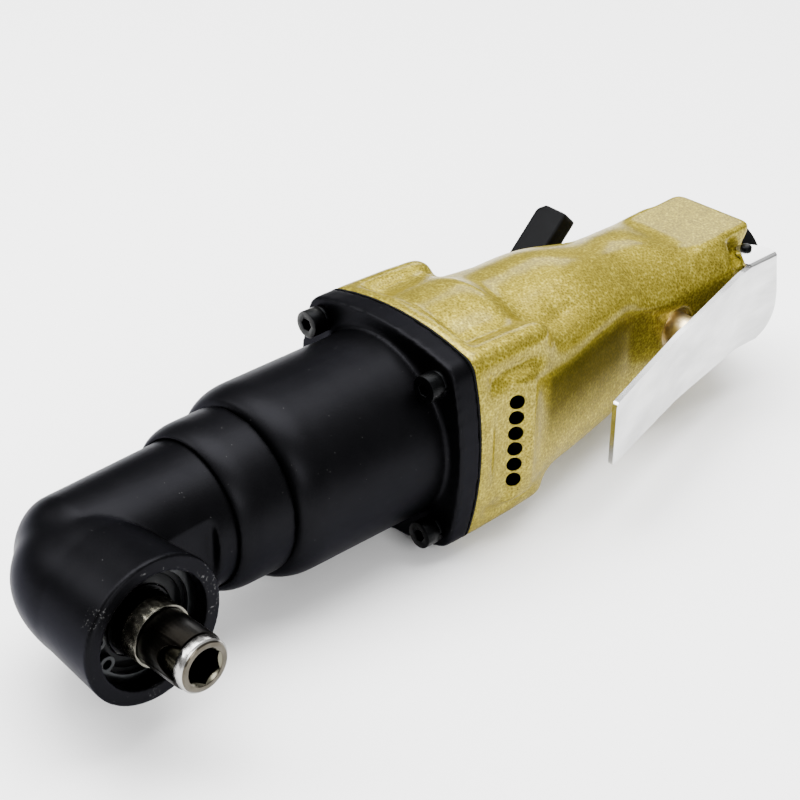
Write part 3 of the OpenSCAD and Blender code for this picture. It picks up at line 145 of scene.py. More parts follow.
class Nodes:
    """A material's node tree with short helpers."""

    def __init__(self, name):
        self.mat = bpy.data.materials.new(name)
        self.mat.use_nodes = True
        self.tree = self.mat.node_tree
        self.bsdf = next(n for n in self.tree.nodes if n.type == "BSDF_PRINCIPLED")
        self.coord = self.tree.nodes.new("ShaderNodeTexCoord").outputs["Object"]

    def new(self, kind, **values):
        node = self.tree.nodes.new(kind)
        for key, value in values.items():
            setattr(node, key, value)
        return node

    def feed(self, socket, value):
        """Links a socket to another one, or sets its number or colour."""
        if isinstance(value, bpy.types.NodeSocket):
            self.tree.links.new(value, socket)
        elif isinstance(value, tuple) and socket.type == "RGBA":
            socket.default_value = (*value, 1.0)
        else:
            socket.default_value = value

    def out(self, name, value):
        self.feed(self.bsdf.inputs[name], value)

    def set(self, **values):
        for key, value in values.items():
            self.out(key.replace("_", " "), value)

    def mapped(self, scale):
        node = self.new("ShaderNodeMapping")
        self.feed(node.inputs["Vector"], self.coord)
        self.feed(node.inputs["Scale"], scale)
        return node.outputs["Vector"]

    def xyz(self):
        """The three coordinates of the shaded point."""
        node = self.new("ShaderNodeSeparateXYZ")
        self.feed(node.inputs[0], self.coord)
        return node.outputs["X"], node.outputs["Y"], node.outputs["Z"]

    def noise(self, scale, detail=3.0, rough=0.55, vector=None):
        node = self.new("ShaderNodeTexNoise")
        self.feed(node.inputs["Vector"], vector or self.coord)
        self.feed(node.inputs["Scale"], scale)
        self.feed(node.inputs["Detail"], detail)
        self.feed(node.inputs["Roughness"], rough)
        return node.outputs["Fac"]

    def lines(self, scale):
        """Noise drawn out along the axes whose scale is small."""
        return self.noise(1.0, 3.0, 0.65, self.mapped(scale))

    def cells(self, scale):
        node = self.new("ShaderNodeTexVoronoi")
        self.feed(node.inputs["Vector"], self.coord)
        self.feed(node.inputs["Scale"], scale)
        return node.outputs["Distance"]

    def ramp(self, source, stops):
        node = self.new("ShaderNodeValToRGB")
        ramp = node.color_ramp
        while len(ramp.elements) < len(stops):
            ramp.elements.new(0.5)
        for element, (pos, colour) in zip(ramp.elements, stops):
            element.position = pos
            element.color = (*colour, 1.0)
        self.feed(node.inputs["Fac"], source)
        return node.outputs["Color"]

    def fade(self, source, start, end, low=0.0, high=1.0):
        """Goes from low to high while source goes from start to end, and stays there."""
        node = self.new("ShaderNodeMapRange")
        for name, value in (("Value", source), ("From Min", start), ("From Max", end),
                            ("To Min", low), ("To Max", high)):
            self.feed(node.inputs[name], value)
        return node.outputs["Result"]

    def mix(self, share, a, b):
        node = self.new("ShaderNodeMix", data_type="RGBA")
        for socket, value in zip((node.inputs[0], node.inputs[6], node.inputs[7]), (share, a, b)):
            self.feed(socket, value)
        return node.outputs[2]

    def math(self, op, a, b=0.0):
        node = self.new("ShaderNodeMath", operation=op)
        self.feed(node.inputs[0], a)
        self.feed(node.inputs[1], b)
        return node.outputs[0]

    def add(self, a, b):
        return self.math("ADD", a, b)

    def less(self, a, b):
        return self.math("SUBTRACT", a, b)

    def times(self, first, *others):
        for other in others:
            first = self.math("MULTIPLY", first, other)
        return first

    def above(self, a, limit):
        return self.math("GREATER_THAN", a, limit)

    def below(self, a, limit):
        return self.math("LESS_THAN", a, limit)

    def bump(self, height, strength, depth):
        node = self.new("ShaderNodeBump")
        self.feed(node.inputs["Height"], height)
        self.feed(node.inputs["Strength"], strength)
        self.feed(node.inputs["Distance"], depth)
        return node.outputs["Normal"]


def lever_shade_mask(n, x, y, z):
    """Mask of the dark band along the slope: painted shade and a painted dark reflection, where the
    lever keeps the light out.
    """
    line = n.add(n.times(x, SLOPE_RISE), SLOPE_Y - SLOPE_X * SLOPE_RISE)
    off_line = n.math("ABSOLUTE", n.less(y, line))
    rising = ((x, 0.055, 0.07), (z, -0.0095, 0.0025))
    falling = ((off_line, 0.001, 0.0032), (x, 0.1019, 0.1056), (z, 0.011, 0.015))
    return n.times(*(n.fade(*limit) for limit in rising),
                   *(n.fade(*limit, 1.0, 0.0) for limit in falling))


def painted_hole_shade(n, x, y, z):
    """Mask of painted shade on the exhaust holes' walls, found by the distance from each hole's axis.
    """
    wall_r, under_facet, lowest_y, half_row = 0.00206, 0.0004, 0.021, 0.0142
    cos, sin = math.cos(FACET_TILT), math.sin(FACET_TILT)
    facet = n.less(n.add(y, n.times(x, FACET_FALL)), FACET_Y + FACET_X * FACET_FALL)
    across = n.less(n.less(n.times(x, cos), n.times(y, sin)), HOLE_X * cos - HOLE_Y * sin)
    turn = n.math("FRACT", n.add(n.times(z, 1 / HOLE_PITCH), HOLE_COUNT / 2 - HOLE_Z / HOLE_PITCH))
    beside = n.times(n.less(turn, 0.5), HOLE_PITCH)
    off_axis = n.add(n.times(across, across), n.times(beside, beside))
    return n.times(n.below(facet, -under_facet), n.below(off_axis, wall_r ** 2),
                   n.above(y, lowest_y), n.below(n.math("ABSOLUTE", z), half_row))


def hammertone():
    """Olive gold enamel: mottled metal flakes under a clear coat."""
    n = Nodes("hammertone_gold")
    x, y, z = n.xyz()
    grain = n.noise(2300.0, 3.0, 0.7)
    mottled = n.add(n.times(n.cells(1500.0), 0.5), n.times(grain, 0.6))
    mottled = n.add(mottled, n.times(n.noise(260.0), 0.3))
    colour = n.ramp(mottled, [
        (0.45, (0.07, 0.052, 0.003)), (0.62, (0.15, 0.117, 0.009)),
        (0.8, (0.235, 0.19, 0.018)), (0.97, (0.4, 0.34, 0.05))])
    colour = n.mix(n.fade(n.noise(70.0), 0.35, 0.75, 0.0, 0.25), colour, (0.19, 0.15, 0.01))
    # Painted shade under the lever: the colour darkens there, standing in for the lever's shadow and
    # its dark reflection.
    lever_shade = lever_shade_mask(n, x, y, z)
    colour = n.mix(n.times(lever_shade, 0.75), colour, (0.024, 0.02, 0.002))
    # Painted shade: the walls of the exhaust holes are near black.
    colour = n.mix(painted_hole_shade(n, x, y, z), colour, (0.001, 0.001, 0.001))
    n.out("Base Color", colour)
    n.out("Roughness", n.fade(grain, 0.3, 0.7, 0.34, 0.5))
    n.out("Normal", n.bump(mottled, 0.3, FLAKE_DEPTH))
    # Thinner coat in the painted shade, so that the slope reflects less there.
    n.out("Coat Weight", n.less(0.3, n.times(lever_shade, 0.27)))
    n.set(Metallic=0.7, Specular_IOR_Level=0.06, Specular_Tint=(0.85, 0.74, 0.32),
          Coat_Roughness=0.16, Coat_IOR=1.45)
    return n.mat


def black_paint(name, base=0.0042, rough=0.42, worn_from=None):
    """Semi-matte black with dust specks, and worn flecks past worn_from; its tint keeps rims dark."""
    n = Nodes(name)
    cloud = n.noise(60.0, 3.0, 0.6)
    specks = n.times(n.below(n.cells(900.0), 0.12), n.above(n.noise(350.0, 2.0), 0.62))
    dark = (base, base, base * 1.15)
    light = (base * 1.5, base * 1.5, base * 1.7)
    colour = n.ramp(cloud, [(0.3, dark), (0.75, light)])
    colour = n.mix(n.times(specks, 0.5), colour, (0.06, 0.06, 0.06))
    if worn_from:
        flecks = n.times(n.above(n.noise(1300.0, 3.0, 0.7), 0.61), n.above(n.noise(150.0, 2.0), 0.58))
        worn = n.times(flecks, n.above(n.xyz()[1], worn_from), 0.6)
        colour = n.mix(worn, colour, (0.08, 0.08, 0.08))
    n.out("Base Color", colour)
    n.out("Roughness", n.add(n.add(n.times(cloud, 0.12), rough - 0.06), n.times(specks, 0.2)))
    n.out("Normal", n.bump(n.noise(2600.0, 2.0, 0.6), 0.1, GRAIN_DEPTH))
    n.set(Metallic=1.0, Specular_Tint=(0.55, 0.55, 0.57))
    return n.mat


def metal(name, colour, rough, lines, strength=0.08, dark=0.75):
    """Ground or brushed metal: fine lines along one direction and faint smudges."""
    n = Nodes(name)
    brushed = n.lines(lines)
    cloud = n.noise(120.0, 3.0, 0.6)
    low = tuple(c * dark for c in colour)
    n.out("Base Color", n.mix(n.fade(brushed, 0.25, 0.75), low, colour))
    n.out("Roughness", n.add(n.add(n.times(brushed, 0.16), n.times(cloud, 0.12)), rough - 0.1))
    n.out("Normal", n.bump(brushed, strength, LINE_DEPTH))
    n.set(Metallic=1.0)
    return n.mat


def plastic(name, colour, rough):
    """Moulded plastic or rubber with a fine spark-eroded grain."""
    n = Nodes(name)
    cloud = n.noise(150.0, 2.0)
    light = tuple(c * 1.7 for c in colour)
    n.out("Base Color", n.mix(n.fade(cloud, 0.3, 0.8), colour, light))
    n.out("Roughness", n.add(n.times(cloud, 0.1), rough - 0.05))
    n.out("Normal", n.bump(n.noise(1900.0, 3.0, 0.6), 0.2, GRAIN_DEPTH))
    n.set(Specular_IOR_Level=0.2, IOR=1.2)
    return n.mat


def polished_sheet():
    """The lever's polished sheet: long fine lines under cloudy rubbed patches."""
    n = Nodes("polished_sheet")
    lines = n.lines(ALONG_X)
    patches = n.noise(1.0, vector=n.mapped((45.0, 90.0, 120.0)))
    colour = n.mix(n.fade(patches, 0.36, 0.64), (0.46, 0.46, 0.458), (0.66, 0.66, 0.655))
    n.out("Base Color", n.mix(n.fade(lines, 0.3, 0.7, 0.16, 0.0), colour, (0.3, 0.3, 0.3)))
    n.out("Roughness", n.add(n.times(patches, 0.2), n.times(lines, 0.12)))
    n.out("Normal", n.bump(lines, 0.05, LINE_DEPTH))
    n.set(Metallic=1.0)
    return n.mat


def spindle_steel():
    """Turned steel: a seat painted dark as shade inside the mouth, mottled spring cup, darker mottled
    neck, ground nose and a socket painted near black as shade.
    """
    cup_y, rim_y, nose_y, socket_y = 0.0285, 0.0328, 0.0447, 0.0465
    face_y, lead_y = NOSE_Y - 0.00035, NOSE_Y - 0.00015
    neck_r, socket_r, lead_r = 0.0066, 0.0047, 0.0051
    n = Nodes("turned_steel")
    x, y, z = n.xyz()
    x = n.less(x, HEAD_X)
    radius = n.math("SQRT", n.add(n.times(x, x), n.times(z, z)))
    rings = n.lines(RINGS_Y)
    spots = n.noise(900.0, 3.0, 0.6)
    stains = n.noise(330.0, 3.0, 0.6)
    cup = n.ramp(spots, [(0.36, (0.05, 0.046, 0.034)), (0.5, (0.2, 0.19, 0.15)),
                         (0.7, (0.34, 0.33, 0.28))])
    neck = n.ramp(stains, [(0.35, (0.045, 0.042, 0.028)), (0.7, (0.12, 0.112, 0.078))])
    nose = n.ramp(rings, [(0.3, (0.2, 0.195, 0.185)), (0.7, (0.36, 0.355, 0.345))])
    face = n.ramp(stains, [(0.35, (0.042, 0.037, 0.028)), (0.7, (0.068, 0.061, 0.048))])
    # Painted shade: the socket's walls are near black.
    socket = n.times(n.below(radius, socket_r), n.below(y, socket_y))
    lead = n.times(n.below(radius, lead_r), n.above(y, socket_y), n.below(y, lead_y))
    # Painted shade: the seat behind the spring cup is near black, inside the head's mouth.
    colour = (0.02, 0.019, 0.017)
    for mask, part in (
            (n.above(y, cup_y), cup), (n.above(y, rim_y), (0.1, 0.096, 0.08)),
            (n.below(radius, neck_r), neck), (n.above(y, nose_y), nose), (n.above(y, face_y), face),
            (socket, (0.003, 0.003, 0.003)), (lead, (0.09, 0.085, 0.062))):
        colour = n.mix(mask, colour, part)
    n.out("Base Color", colour)
    n.out("Roughness", n.add(n.times(rings, 0.14), n.times(stains, 0.3)))
    n.out("Normal", n.bump(rings, 0.08, LINE_DEPTH))
    n.set(Metallic=1.0)
    return n.mat


def build_materials():
    return {
        "hammertone": hammertone(),
        "black_paint": black_paint("satin_black_case"),
        "head_paint": black_paint("satin_black_head", 0.0038, 0.4, MOUTH_Y - WORN_LEN),
        "gasket": plastic("gasket_sheet", (0.003, 0.003, 0.003), 0.7),
        "black_steel": metal("black_oxide", (0.0045, 0.0047, 0.005), 0.34, EVEN, 0.1),
        "bright": metal("ground_steel", (0.6, 0.6, 0.59), 0.25, RINGS_X),
        "bright_y": metal("ground_steel_head", (0.6, 0.6, 0.59), 0.25, RINGS_Y),
        "lever": polished_sheet(),
        "gun": metal("gunmetal", (0.0034, 0.003, 0.0024), 0.3, RINGS_Y, 0.06, 0.6),
        "spring": metal("spring_steel", (0.02, 0.021, 0.022), 0.3, RINGS_Y),
        "spindle": spindle_steel(),
        "brass": metal("turned_brass", (0.95, 0.77, 0.43), 0.3, RINGS_Y, 0.1, 0.8),
        "bronze": metal("bush_bronze", (0.45, 0.27, 0.12), 0.4, RINGS_Y),
        "iron": metal("ground_iron", (0.33, 0.335, 0.34), 0.4, RINGS_X),
        "vane": plastic("vane_fibre", (0.12, 0.06, 0.025), 0.55),
        "rubber": plastic("nitrile", (0.003, 0.003, 0.003), 0.5),
        "knob": plastic("black_knob", (0.0018, 0.0019, 0.0022), 0.42),
    }


# The nodes of each material; a node that isn't named here is bright
NODES_OF = {
    "hammertone": ("motor_housing",),
    "black_paint": ("hammer_case", "neck_collar"),
    "head_paint": ("angle_head",),
    "gasket": ("case_gasket",),
    # The bearing shield and races are black here as painted shade inside the head's mouth; the screws,
    # washers, inlet bushing, knob screw and pin are black oxide.
    "black_steel": ("case_screws", "screw_washers", "air_inlet_bushing", "knob_screw", "lever_pin",
                    "bearing_shield", "spindle_bearing_outer", "spindle_bearing_inner"),
    "bright_y": ("throttle_spring", "reverse_spool", "chuck_spring", "lock_ball", "bevel_gear",
                 "spindle_bearing_balls", "gear_key"),
    "lever": ("lever",),
    "gun": ("chuck_sleeve",),
    "spring": ("head_circlip",),
    "spindle": ("spindle",),
    "brass": ("throttle_bush", "throttle_button"),
    "bronze": ("anvil_bush", "tail_bush"),
    "iron": ("rear_end_plate", "front_end_plate", "motor_cylinder", "rotor"),
    "vane": ("vanes",),
    "rubber": ("button_oring", "throttle_valve", "reverse_orings"),
    "knob": ("reverse_knob",),
}
MATERIAL_OF = {node: material for material, nodes in NODES_OF.items() for node in nodes}


def paint(obj, material):
    obj.data.materials.clear()
    obj.data.materials.append(material)


def crisp(obj, width, segments=2):
    """Rounds the edges of a turned or folded piece a little, so that they catch the light."""
    weld = obj.modifiers.new("weld", "WELD")
    weld.merge_threshold = MERGE
    flat = obj.modifiers.new("merge", "DECIMATE")
    flat.decimate_type = "DISSOLVE"
    flat.angle_limit = math.radians(0.4)
    bevel = obj.modifiers.new("bevel", "BEVEL")
    bevel.width = width
    bevel.segments = segments
    bevel.limit_method = "ANGLE"
    bevel.angle_limit = math.radians(35)
    bevel.use_clamp_overlap = True
    bevel.harden_normals = True


def shade(obj, angle=35.0):
    """Smooth faces with sharp edges where the surface turns by more than angle."""
    for poly in obj.data.polygons:
        poly.use_smooth = True
    with bpy.context.temp_override(object=obj, active_object=obj, selected_objects=[obj],
                                   selected_editable_objects=[obj]):
        bpy.ops.object.shade_smooth_by_angle(angle=math.radians(angle))


def new_object(name, bm):
    mesh = bpy.data.meshes.new(name)
    bm.to_mesh(mesh)
    bm.free()
    return linked(name, mesh)


def apply_all(obj):
    """Puts the result of an object's modifiers in place of its mesh."""
    deps = bpy.context.evaluated_depsgraph_get()
    mesh = bpy.data.meshes.new_from_object(obj.evaluated_get(deps))
    obj.modifiers.clear()
    old = obj.data
    obj.data = mesh
    bpy.data.meshes.remove(old)


def join(obj, other, how):
    """Exact union or difference of two closed solids; the second is used up."""
    cut = obj.modifiers.new("join", "BOOLEAN")
    cut.operation = how
    cut.solver = "EXACT"
    cut.object = other
    apply_all(obj)
    bpy.data.objects.remove(other)


def reshape(obj, change):
    """Moves an object's points: change takes and returns an array of places."""
    co = np.empty(len(obj.data.vertices) * 3)
    obj.data.vertices.foreach_get("co", co)
    obj.data.vertices.foreach_set("co", change(co.reshape(-1, 3)).ravel())
    obj.data.update()


def add_solid(mesh, points, faces):
    """Adds a closed solid to a mesh."""
    bm = bmesh.new()
    bm.from_mesh(mesh)
    verts = [bm.verts.new(p) for p in points]
    for face in faces:
        bm.faces.new([verts[k] for k in face])
    bm.to_mesh(mesh)
    bm.free()


def back_thin_wall(mesh):
    """Backs the thin wall at the motor bore's rear end, so that the even mesh keeps it closed."""
    half = 0.0075
    section = [(0.0716, 0.0188), (0.0795, 0.0188), (0.0795, 0.0222), (0.0716, 0.0206)]
    points = [(x, y, z) for z in (-half, half) for x, y in section]
    faces = [(0, 1, 2, 3), (7, 6, 5, 4)]
    faces += [(k, k + 4, (k + 1) % 4 + 4, (k + 1) % 4) for k in range(4)]
    add_solid(mesh, points, faces)


def ridge_height(x, z):
    """Top of the exhaust ridge: the facet in front, a rise at the rear and a bowed crown."""
    rear_x, rear_y, rear_rise, crown_y, crown_bow = 0.108, 0.0289, 0.674, 0.0313, 0.126
    return min(FACET_Y + (FACET_X - x) * FACET_FALL, rear_y + (x - rear_x) * rear_rise,
               crown_y - z * z / crown_bow)


def exhaust_ridge(mesh):
    """The bowed ridge across the exhaust pad; its front facet takes the holes."""
    nx, nz = 22, 48
    rear_x, length, rear_half, spread, floor_y = 0.1067, 0.0118, 0.0166, 0.0018, 0.024
    points = []
    for level in (0, 1):
        for i in range(nx):
            x = rear_x + length * i / (nx - 1)
            half = rear_half + spread * i / (nx - 1)
            for k in range(nz):
                z = half * (2 * k / (nz - 1) - 1)
                points.append((x, ridge_height(x, z) if level else floor_y, z))

    def at(level, i, k):
        return level * nx * nz + i * nz + k

    faces = []
    for i in range(nx - 1):
        for k in range(nz - 1):
            faces.append((at(1, i, k), at(1, i, k + 1), at(1, i + 1, k + 1), at(1, i + 1, k)))
            faces.append((at(0, i + 1, k), at(0, i + 1, k + 1), at(0, i, k + 1), at(0, i, k)))
    last = nz - 1
    for i in range(nx - 1):
        faces.append((at(1, i, 0), at(1, i + 1, 0), at(0, i + 1, 0), at(0, i, 0)))
        faces.append((at(1, i + 1, last), at(1, i, last), at(0, i, last), at(0, i + 1, last)))
    last = nx - 1
    for k in range(nz - 1):
        faces.append((at(1, 0, k + 1), at(1, 0, k), at(0, 0, k), at(0, 0, k + 1)))
        faces.append((at(1, last, k), at(1, last, k + 1), at(0, last, k + 1), at(0, last, k)))
    add_solid(mesh, points, faces)


def fading(v, start, end):
    """A weight that goes from 0 at start to 1 at end, which may lie on either side."""
    return np.clip((v - start) / (end - start), 0, 1)


def between(v, low, high, soft):
    """A weight of 1 from low to high that fades out over soft on both sides."""
    return fading(v, low - soft, low) * fading(v, high + soft, high)


def outline_reach(angle, r):
    """Reach of the flange's bowed square outline with corner radius r, for each angle."""
    fold = np.abs((angle + np.pi / 4) % (np.pi / 2) - np.pi / 4)
    k = SCREW_C - FLANGE_HALF
    side_r = (r * r - k * k - SCREW_C ** 2) / (2 * (k + r))
    mid = FLANGE_HALF - side_r
    turn = math.atan2(SCREW_C, SCREW_C - mid)
    turn = math.atan2(side_r * math.sin(turn), mid + side_r * math.cos(turn))
    b = mid * np.cos(fold)
    side = b + np.sqrt(b * b + side_r ** 2 - mid ** 2)
    c = SCREW_C * (np.cos(fold) + np.sin(fold))
    corner = c + np.sqrt(np.maximum(c * c - 2 * SCREW_C ** 2 + r * r, 0))
    return np.where(fold < turn, side, corner)


def trim_flange(co):
    """Draws the flange's corners in to the cast radius."""
    inner_share, outer_share = 0.86, 0.98
    x, y, z = co.T
    angle = np.arctan2(z, y)
    reach = outline_reach(angle, CAD_CORNER_R)
    drawn = outline_reach(angle, CAST_CORNER_R) / reach - 1
    weight = fading(np.hypot(y, z) / reach, inner_share, outer_share)
    weight = weight * (x > FLANGE_REAR) * (x < FLANGE_FRONT)
    co[:, 1:] *= (1 + drawn * weight)[:, None]
    return co


def taper_bosses(co):
    """Makes the corner bosses behind the flange slimmer towards the rear, and steepens their ends."""
    far_r, near_r, bosses_x, steep_x, steep = 0.0085, 0.0064, 0.09, 0.104, 0.3
    rear_r, gain, taper_rear, taper_front = 0.0045, 0.00085, 0.098, 0.124
    x = co[:, 0]
    off = np.abs(co[:, 1:]) - SCREW_C
    weight = fading(np.hypot(off[:, 0], off[:, 1]), far_r, near_r) * (x < FLANGE_REAR) * (x > bosses_x)
    r = rear_r + gain * fading(x, taper_rear, taper_front)
    moved = np.sign(co[:, 1:]) * (SCREW_C + off * (1 + (r / CAD_BOSS_R - 1) * weight)[:, None])
    co[:, 1:] = np.where(weight[:, None] > 0, moved, co[:, 1:])
    co[:, 0] = x + np.maximum(steep_x - x, 0) * weight * steep
    return co


def lower_pad(co):
    """Lets the exhaust pad fall a little towards the flange."""
    pad_y, half, fall = 0.0275, 0.0185, 0.0007
    pad_x = (0.1175, 0.1225, 0.0012)
    weight = between(co[:, 0], *pad_x) * (co[:, 1] > pad_y) * (np.abs(co[:, 2]) < half)
    co[:, 1] -= fall * weight
    return co


def label_end(co):
    """Carries the label block's near rear corner back over the collar, and lifts the far one."""
    back, lift = 0.0025, 0.0007
    end_x, top_z, across_y = (0.030, 0.012), (0.0118, 0.0143), (-0.010, 0.010)
    weight = fading(co[:, 0], *end_x) * fading(co[:, 2], *top_z)
    near = fading(co[:, 1], *across_y)
    co[:, 0] -= back * weight * near
    co[:, 2] += lift * weight * (1 - near)
    return co


def drill_exhaust(obj):
    """Six holes, square to the ridge's facet, down to the chamber."""
    depth, sunk = 0.011, 0.0018
    bm = bmesh.new()
    tilt = Matrix.Rotation(-FACET_TILT, 4, "Z") @ Matrix.Rotation(-math.pi / 2, 4, "X")
    for k in range(HOLE_COUNT):
        z = HOLE_Z + (k - (HOLE_COUNT - 1) / 2) * HOLE_PITCH
        place = Matrix.Translation((HOLE_X, HOLE_Y, z)) @ tilt @ Matrix.Translation((0, 0, -sunk))
        bmesh.ops.create_cone(bm, cap_ends=True, segments=28, radius1=HOLE_R, radius2=HOLE_R,
                              depth=depth, matrix=place)
    join(obj, new_object("drills", bm), "DIFFERENCE")
    shade(obj, 40.0)


class Pass(NamedTuple):
    """Rounds of smoothing, the share pushed back after each, and a weight for each place."""
    rounds: int
    back: float = 0.19
    weight: object = None


def smooth_mesh(obj, passes):
    """Draws each point towards the mean of its neighbours, pass by pass."""
    pull = 0.6
    mesh = obj.data
    n = len(mesh.vertices)
    co = np.empty(n * 3)
    mesh.vertices.foreach_get("co", co)
    co = co.reshape(-1, 3)
    start = co.copy()
    edges = np.empty(len(mesh.edges) * 2, dtype=np.int64)
    mesh.edges.foreach_get("vertices", edges)
    a, b = edges.reshape(-1, 2).T
    count = (np.bincount(a, minlength=n) + np.bincount(b, minlength=n)).astype(float)[:, None]

    def mean(v):
        total = [np.bincount(a, v[b, k], n) + np.bincount(b, v[a, k], n) for k in range(3)]
        return np.stack(total, 1) / count

    for rounds, back, weight in passes:
        w = weight(start)[:, None] if weight else 1.0
        for _ in range(rounds):
            co = co + pull * w * (mean(co) - co)
            co = co - back * w * (mean(co) - co)
    mesh.vertices.foreach_set("co", co.ravel())
    mesh.update()
    for poly in mesh.polygons:
        poly.use_smooth = True


def behind_mouth(co):
    """All of the head but the rim of its mouth, which stays crisp."""
    rim_len = 0.0021
    return (co[:, 1] < MOUTH_Y - rim_len).astype(float)


def soft_edges(co):
    """The housing's long edges beside the slope, the label's ramp and the end of the drum."""
    edge_x, edge_z, edge_over = (0.064, 0.103, 0.004), (0.011, 0.021, 0.003), (-0.006, 0.002, 0.002)
    ramp_x, ramp_z = (0.034, 0.046, 0.004), (0.014, 0.022, 0.003)
    drum_x, drum_r, drum_share = (0.093, 0.107, 0.004), (0.0235, 0.034, 0.002), 0.45
    x, y, z = co.T
    over = y - SLOPE_Y + (SLOPE_X - x) * SLOPE_RISE
    edge = between(x, *edge_x) * between(np.abs(z), *edge_z) * between(over, *edge_over)
    ramp = between(x, *ramp_x) * between(z, *ramp_z)
    drum = between(x, *drum_x) * between(np.hypot(y, z), *drum_r)
    return np.maximum(np.maximum(edge, ramp), drum_share * drum)


def elbow_corner(co):
    """The elbow's outer corner."""
    corner_x, corner_y = (0.2335, 0.26, 0.005), (-0.02, 0.004, 0.007)
    return between(co[:, 0], *corner_x) * between(co[:, 1], *corner_y)


class Cast(NamedTuple):
    """A cast node and the soft-edged piece that is shown for it.

    Solids are added before the even mesh is made, changes move its points, and cuts come last.
    """
    node: str
    name: str
    voxel: float
    slot: str
    passes: tuple
    body: str = "housing"
    solids: tuple = ()
    changes: tuple = ()
    cuts: tuple = ()


CASTS = (
    Cast("motor_housing", "housing_cast", 0.0006, "hammertone", (Pass(14), Pass(110, 0.0, soft_edges)),
         solids=(back_thin_wall, exhaust_ridge), cuts=(drill_exhaust,),
         changes=(trim_flange, taper_bosses, lower_pad, label_end)),
    Cast("angle_head", "head_cast", 0.0005, "black_paint",
         (Pass(8, weight=behind_mouth), Pass(70, 0.0, elbow_corner))),
    Cast("hammer_case", "case_cast", 0.0005, "black_paint", (Pass(8),), changes=(trim_flange,)),
    Cast("neck_collar", "collar_cast", 0.0005, "black_paint", (Pass(8),)),
    Cast("reverse_knob", "knob_moulded", 0.0004, "knob_plastic", (Pass(9, 0.0),), body="reverse"),
)


def plain_copy(node, name):
    return linked(name, NODES[node].data.copy())


def cast_copy(cast):
    """A soft-edged copy of a cast node: even mesh, then passes of smoothing."""
    obj = plain_copy(cast.node, cast.name)
    for solid in cast.solids:
        solid(obj.data)
    weld = obj.modifiers.new("weld", "WELD")
    weld.merge_threshold = MERGE
    remesh = obj.modifiers.new("remesh", "REMESH")
    remesh.mode = "VOXEL"
    remesh.voxel_size = cast.voxel
    remesh.use_smooth_shade = True
    apply_all(obj)
    for change in cast.changes:
        reshape(obj, change)
    smooth_mesh(obj, cast.passes)
    for cut in cast.cuts:
        cut(obj)
    return obj


def pinned_head(mesh):
    """A low rounded head on the end of the lever's pin, outside the ear."""
    steps = ((0.0016, 0.0121), (0.0016, 0.01275), (0.0015, 0.013), (0.00125, 0.0132), (0.0008, 0.0133))
    n = 32
    turns = [2 * math.pi * k / n for k in range(n)]
    points = [(PIN_X + r * math.cos(a), PIN_Y + r * math.sin(a), z) for r, z in steps for a in turns]
    faces = [tuple(range(n))[::-1], tuple(range((len(steps) - 1) * n, len(steps) * n))]
    faces += [(i * n + k, i * n + (k + 1) % n, (i + 1) * n + (k + 1) % n, (i + 1) * n + k)
              for i in range(len(steps) - 1) for k in range(n)]
    add_solid(mesh, points, faces)


def shorten_band(co):
    """Shortens the spindle's front band from behind, and lets the neck run up to it."""
    lead_r, slack = 0.0052, 0.00005
    x, y, z = co.T
    rear_face = (np.abs(y - CAD_BAND_Y) < slack) & (np.hypot(x - HEAD_X, z) > lead_r)
    co[:, 1] = np.where(rear_face, BAND_Y, y)
    return co


def draw_out_sleeve(co):
    """Draws out the sleeve's front end, with its window, to just behind the front band."""
    still_y, gap = 0.0388, 0.0003
    y = co[:, 1]
    grow = (BAND_Y - gap - still_y) / (y.max() - still_y)
    co[:, 1] = np.where(y > still_y, still_y + (y - still_y) * grow, y)
    return co


def arc(cx, cy, r, start, end, steps=8):
    """Points of an arc, with its two angles in degrees."""
    turns = [math.radians(start + (end - start) * k / steps) for k in range(steps + 1)]
    return [(cx + r * math.cos(a), cy + r * math.sin(a)) for a in turns]


def lever_height(x):
    """Inner side of the lever's sheet: a level rear, and two slopes with soft bends."""
    def past(bend):
        return 0.5 * (x - bend + math.hypot(x - bend, BEND_SOFT))

    return LEVER_Y + FIRST_SLOPE * past(FIRST_BEND) + (SECOND_SLOPE - FIRST_SLOPE) * past(SECOND_BEND)


def ordered_object(name, bm):
    """A new object with points and faces in a fixed order, which bisecting doesn't keep."""
    verts = sorted(bm.verts, key=lambda v: tuple(v.co))
    index = {v: k for k, v in enumerate(verts)}
    rings = [[index[v] for v in face.verts] for face in bm.faces]
    starts = [ring.index(min(ring)) for ring in rings]
    faces = sorted(ring[k:] + ring[:k] for ring, k in zip(rings, starts))
    mesh = bpy.data.meshes.new(name)
    mesh.from_pydata([tuple(v.co) for v in verts], [], faces)
    bm.free()
    return linked(name, mesh)


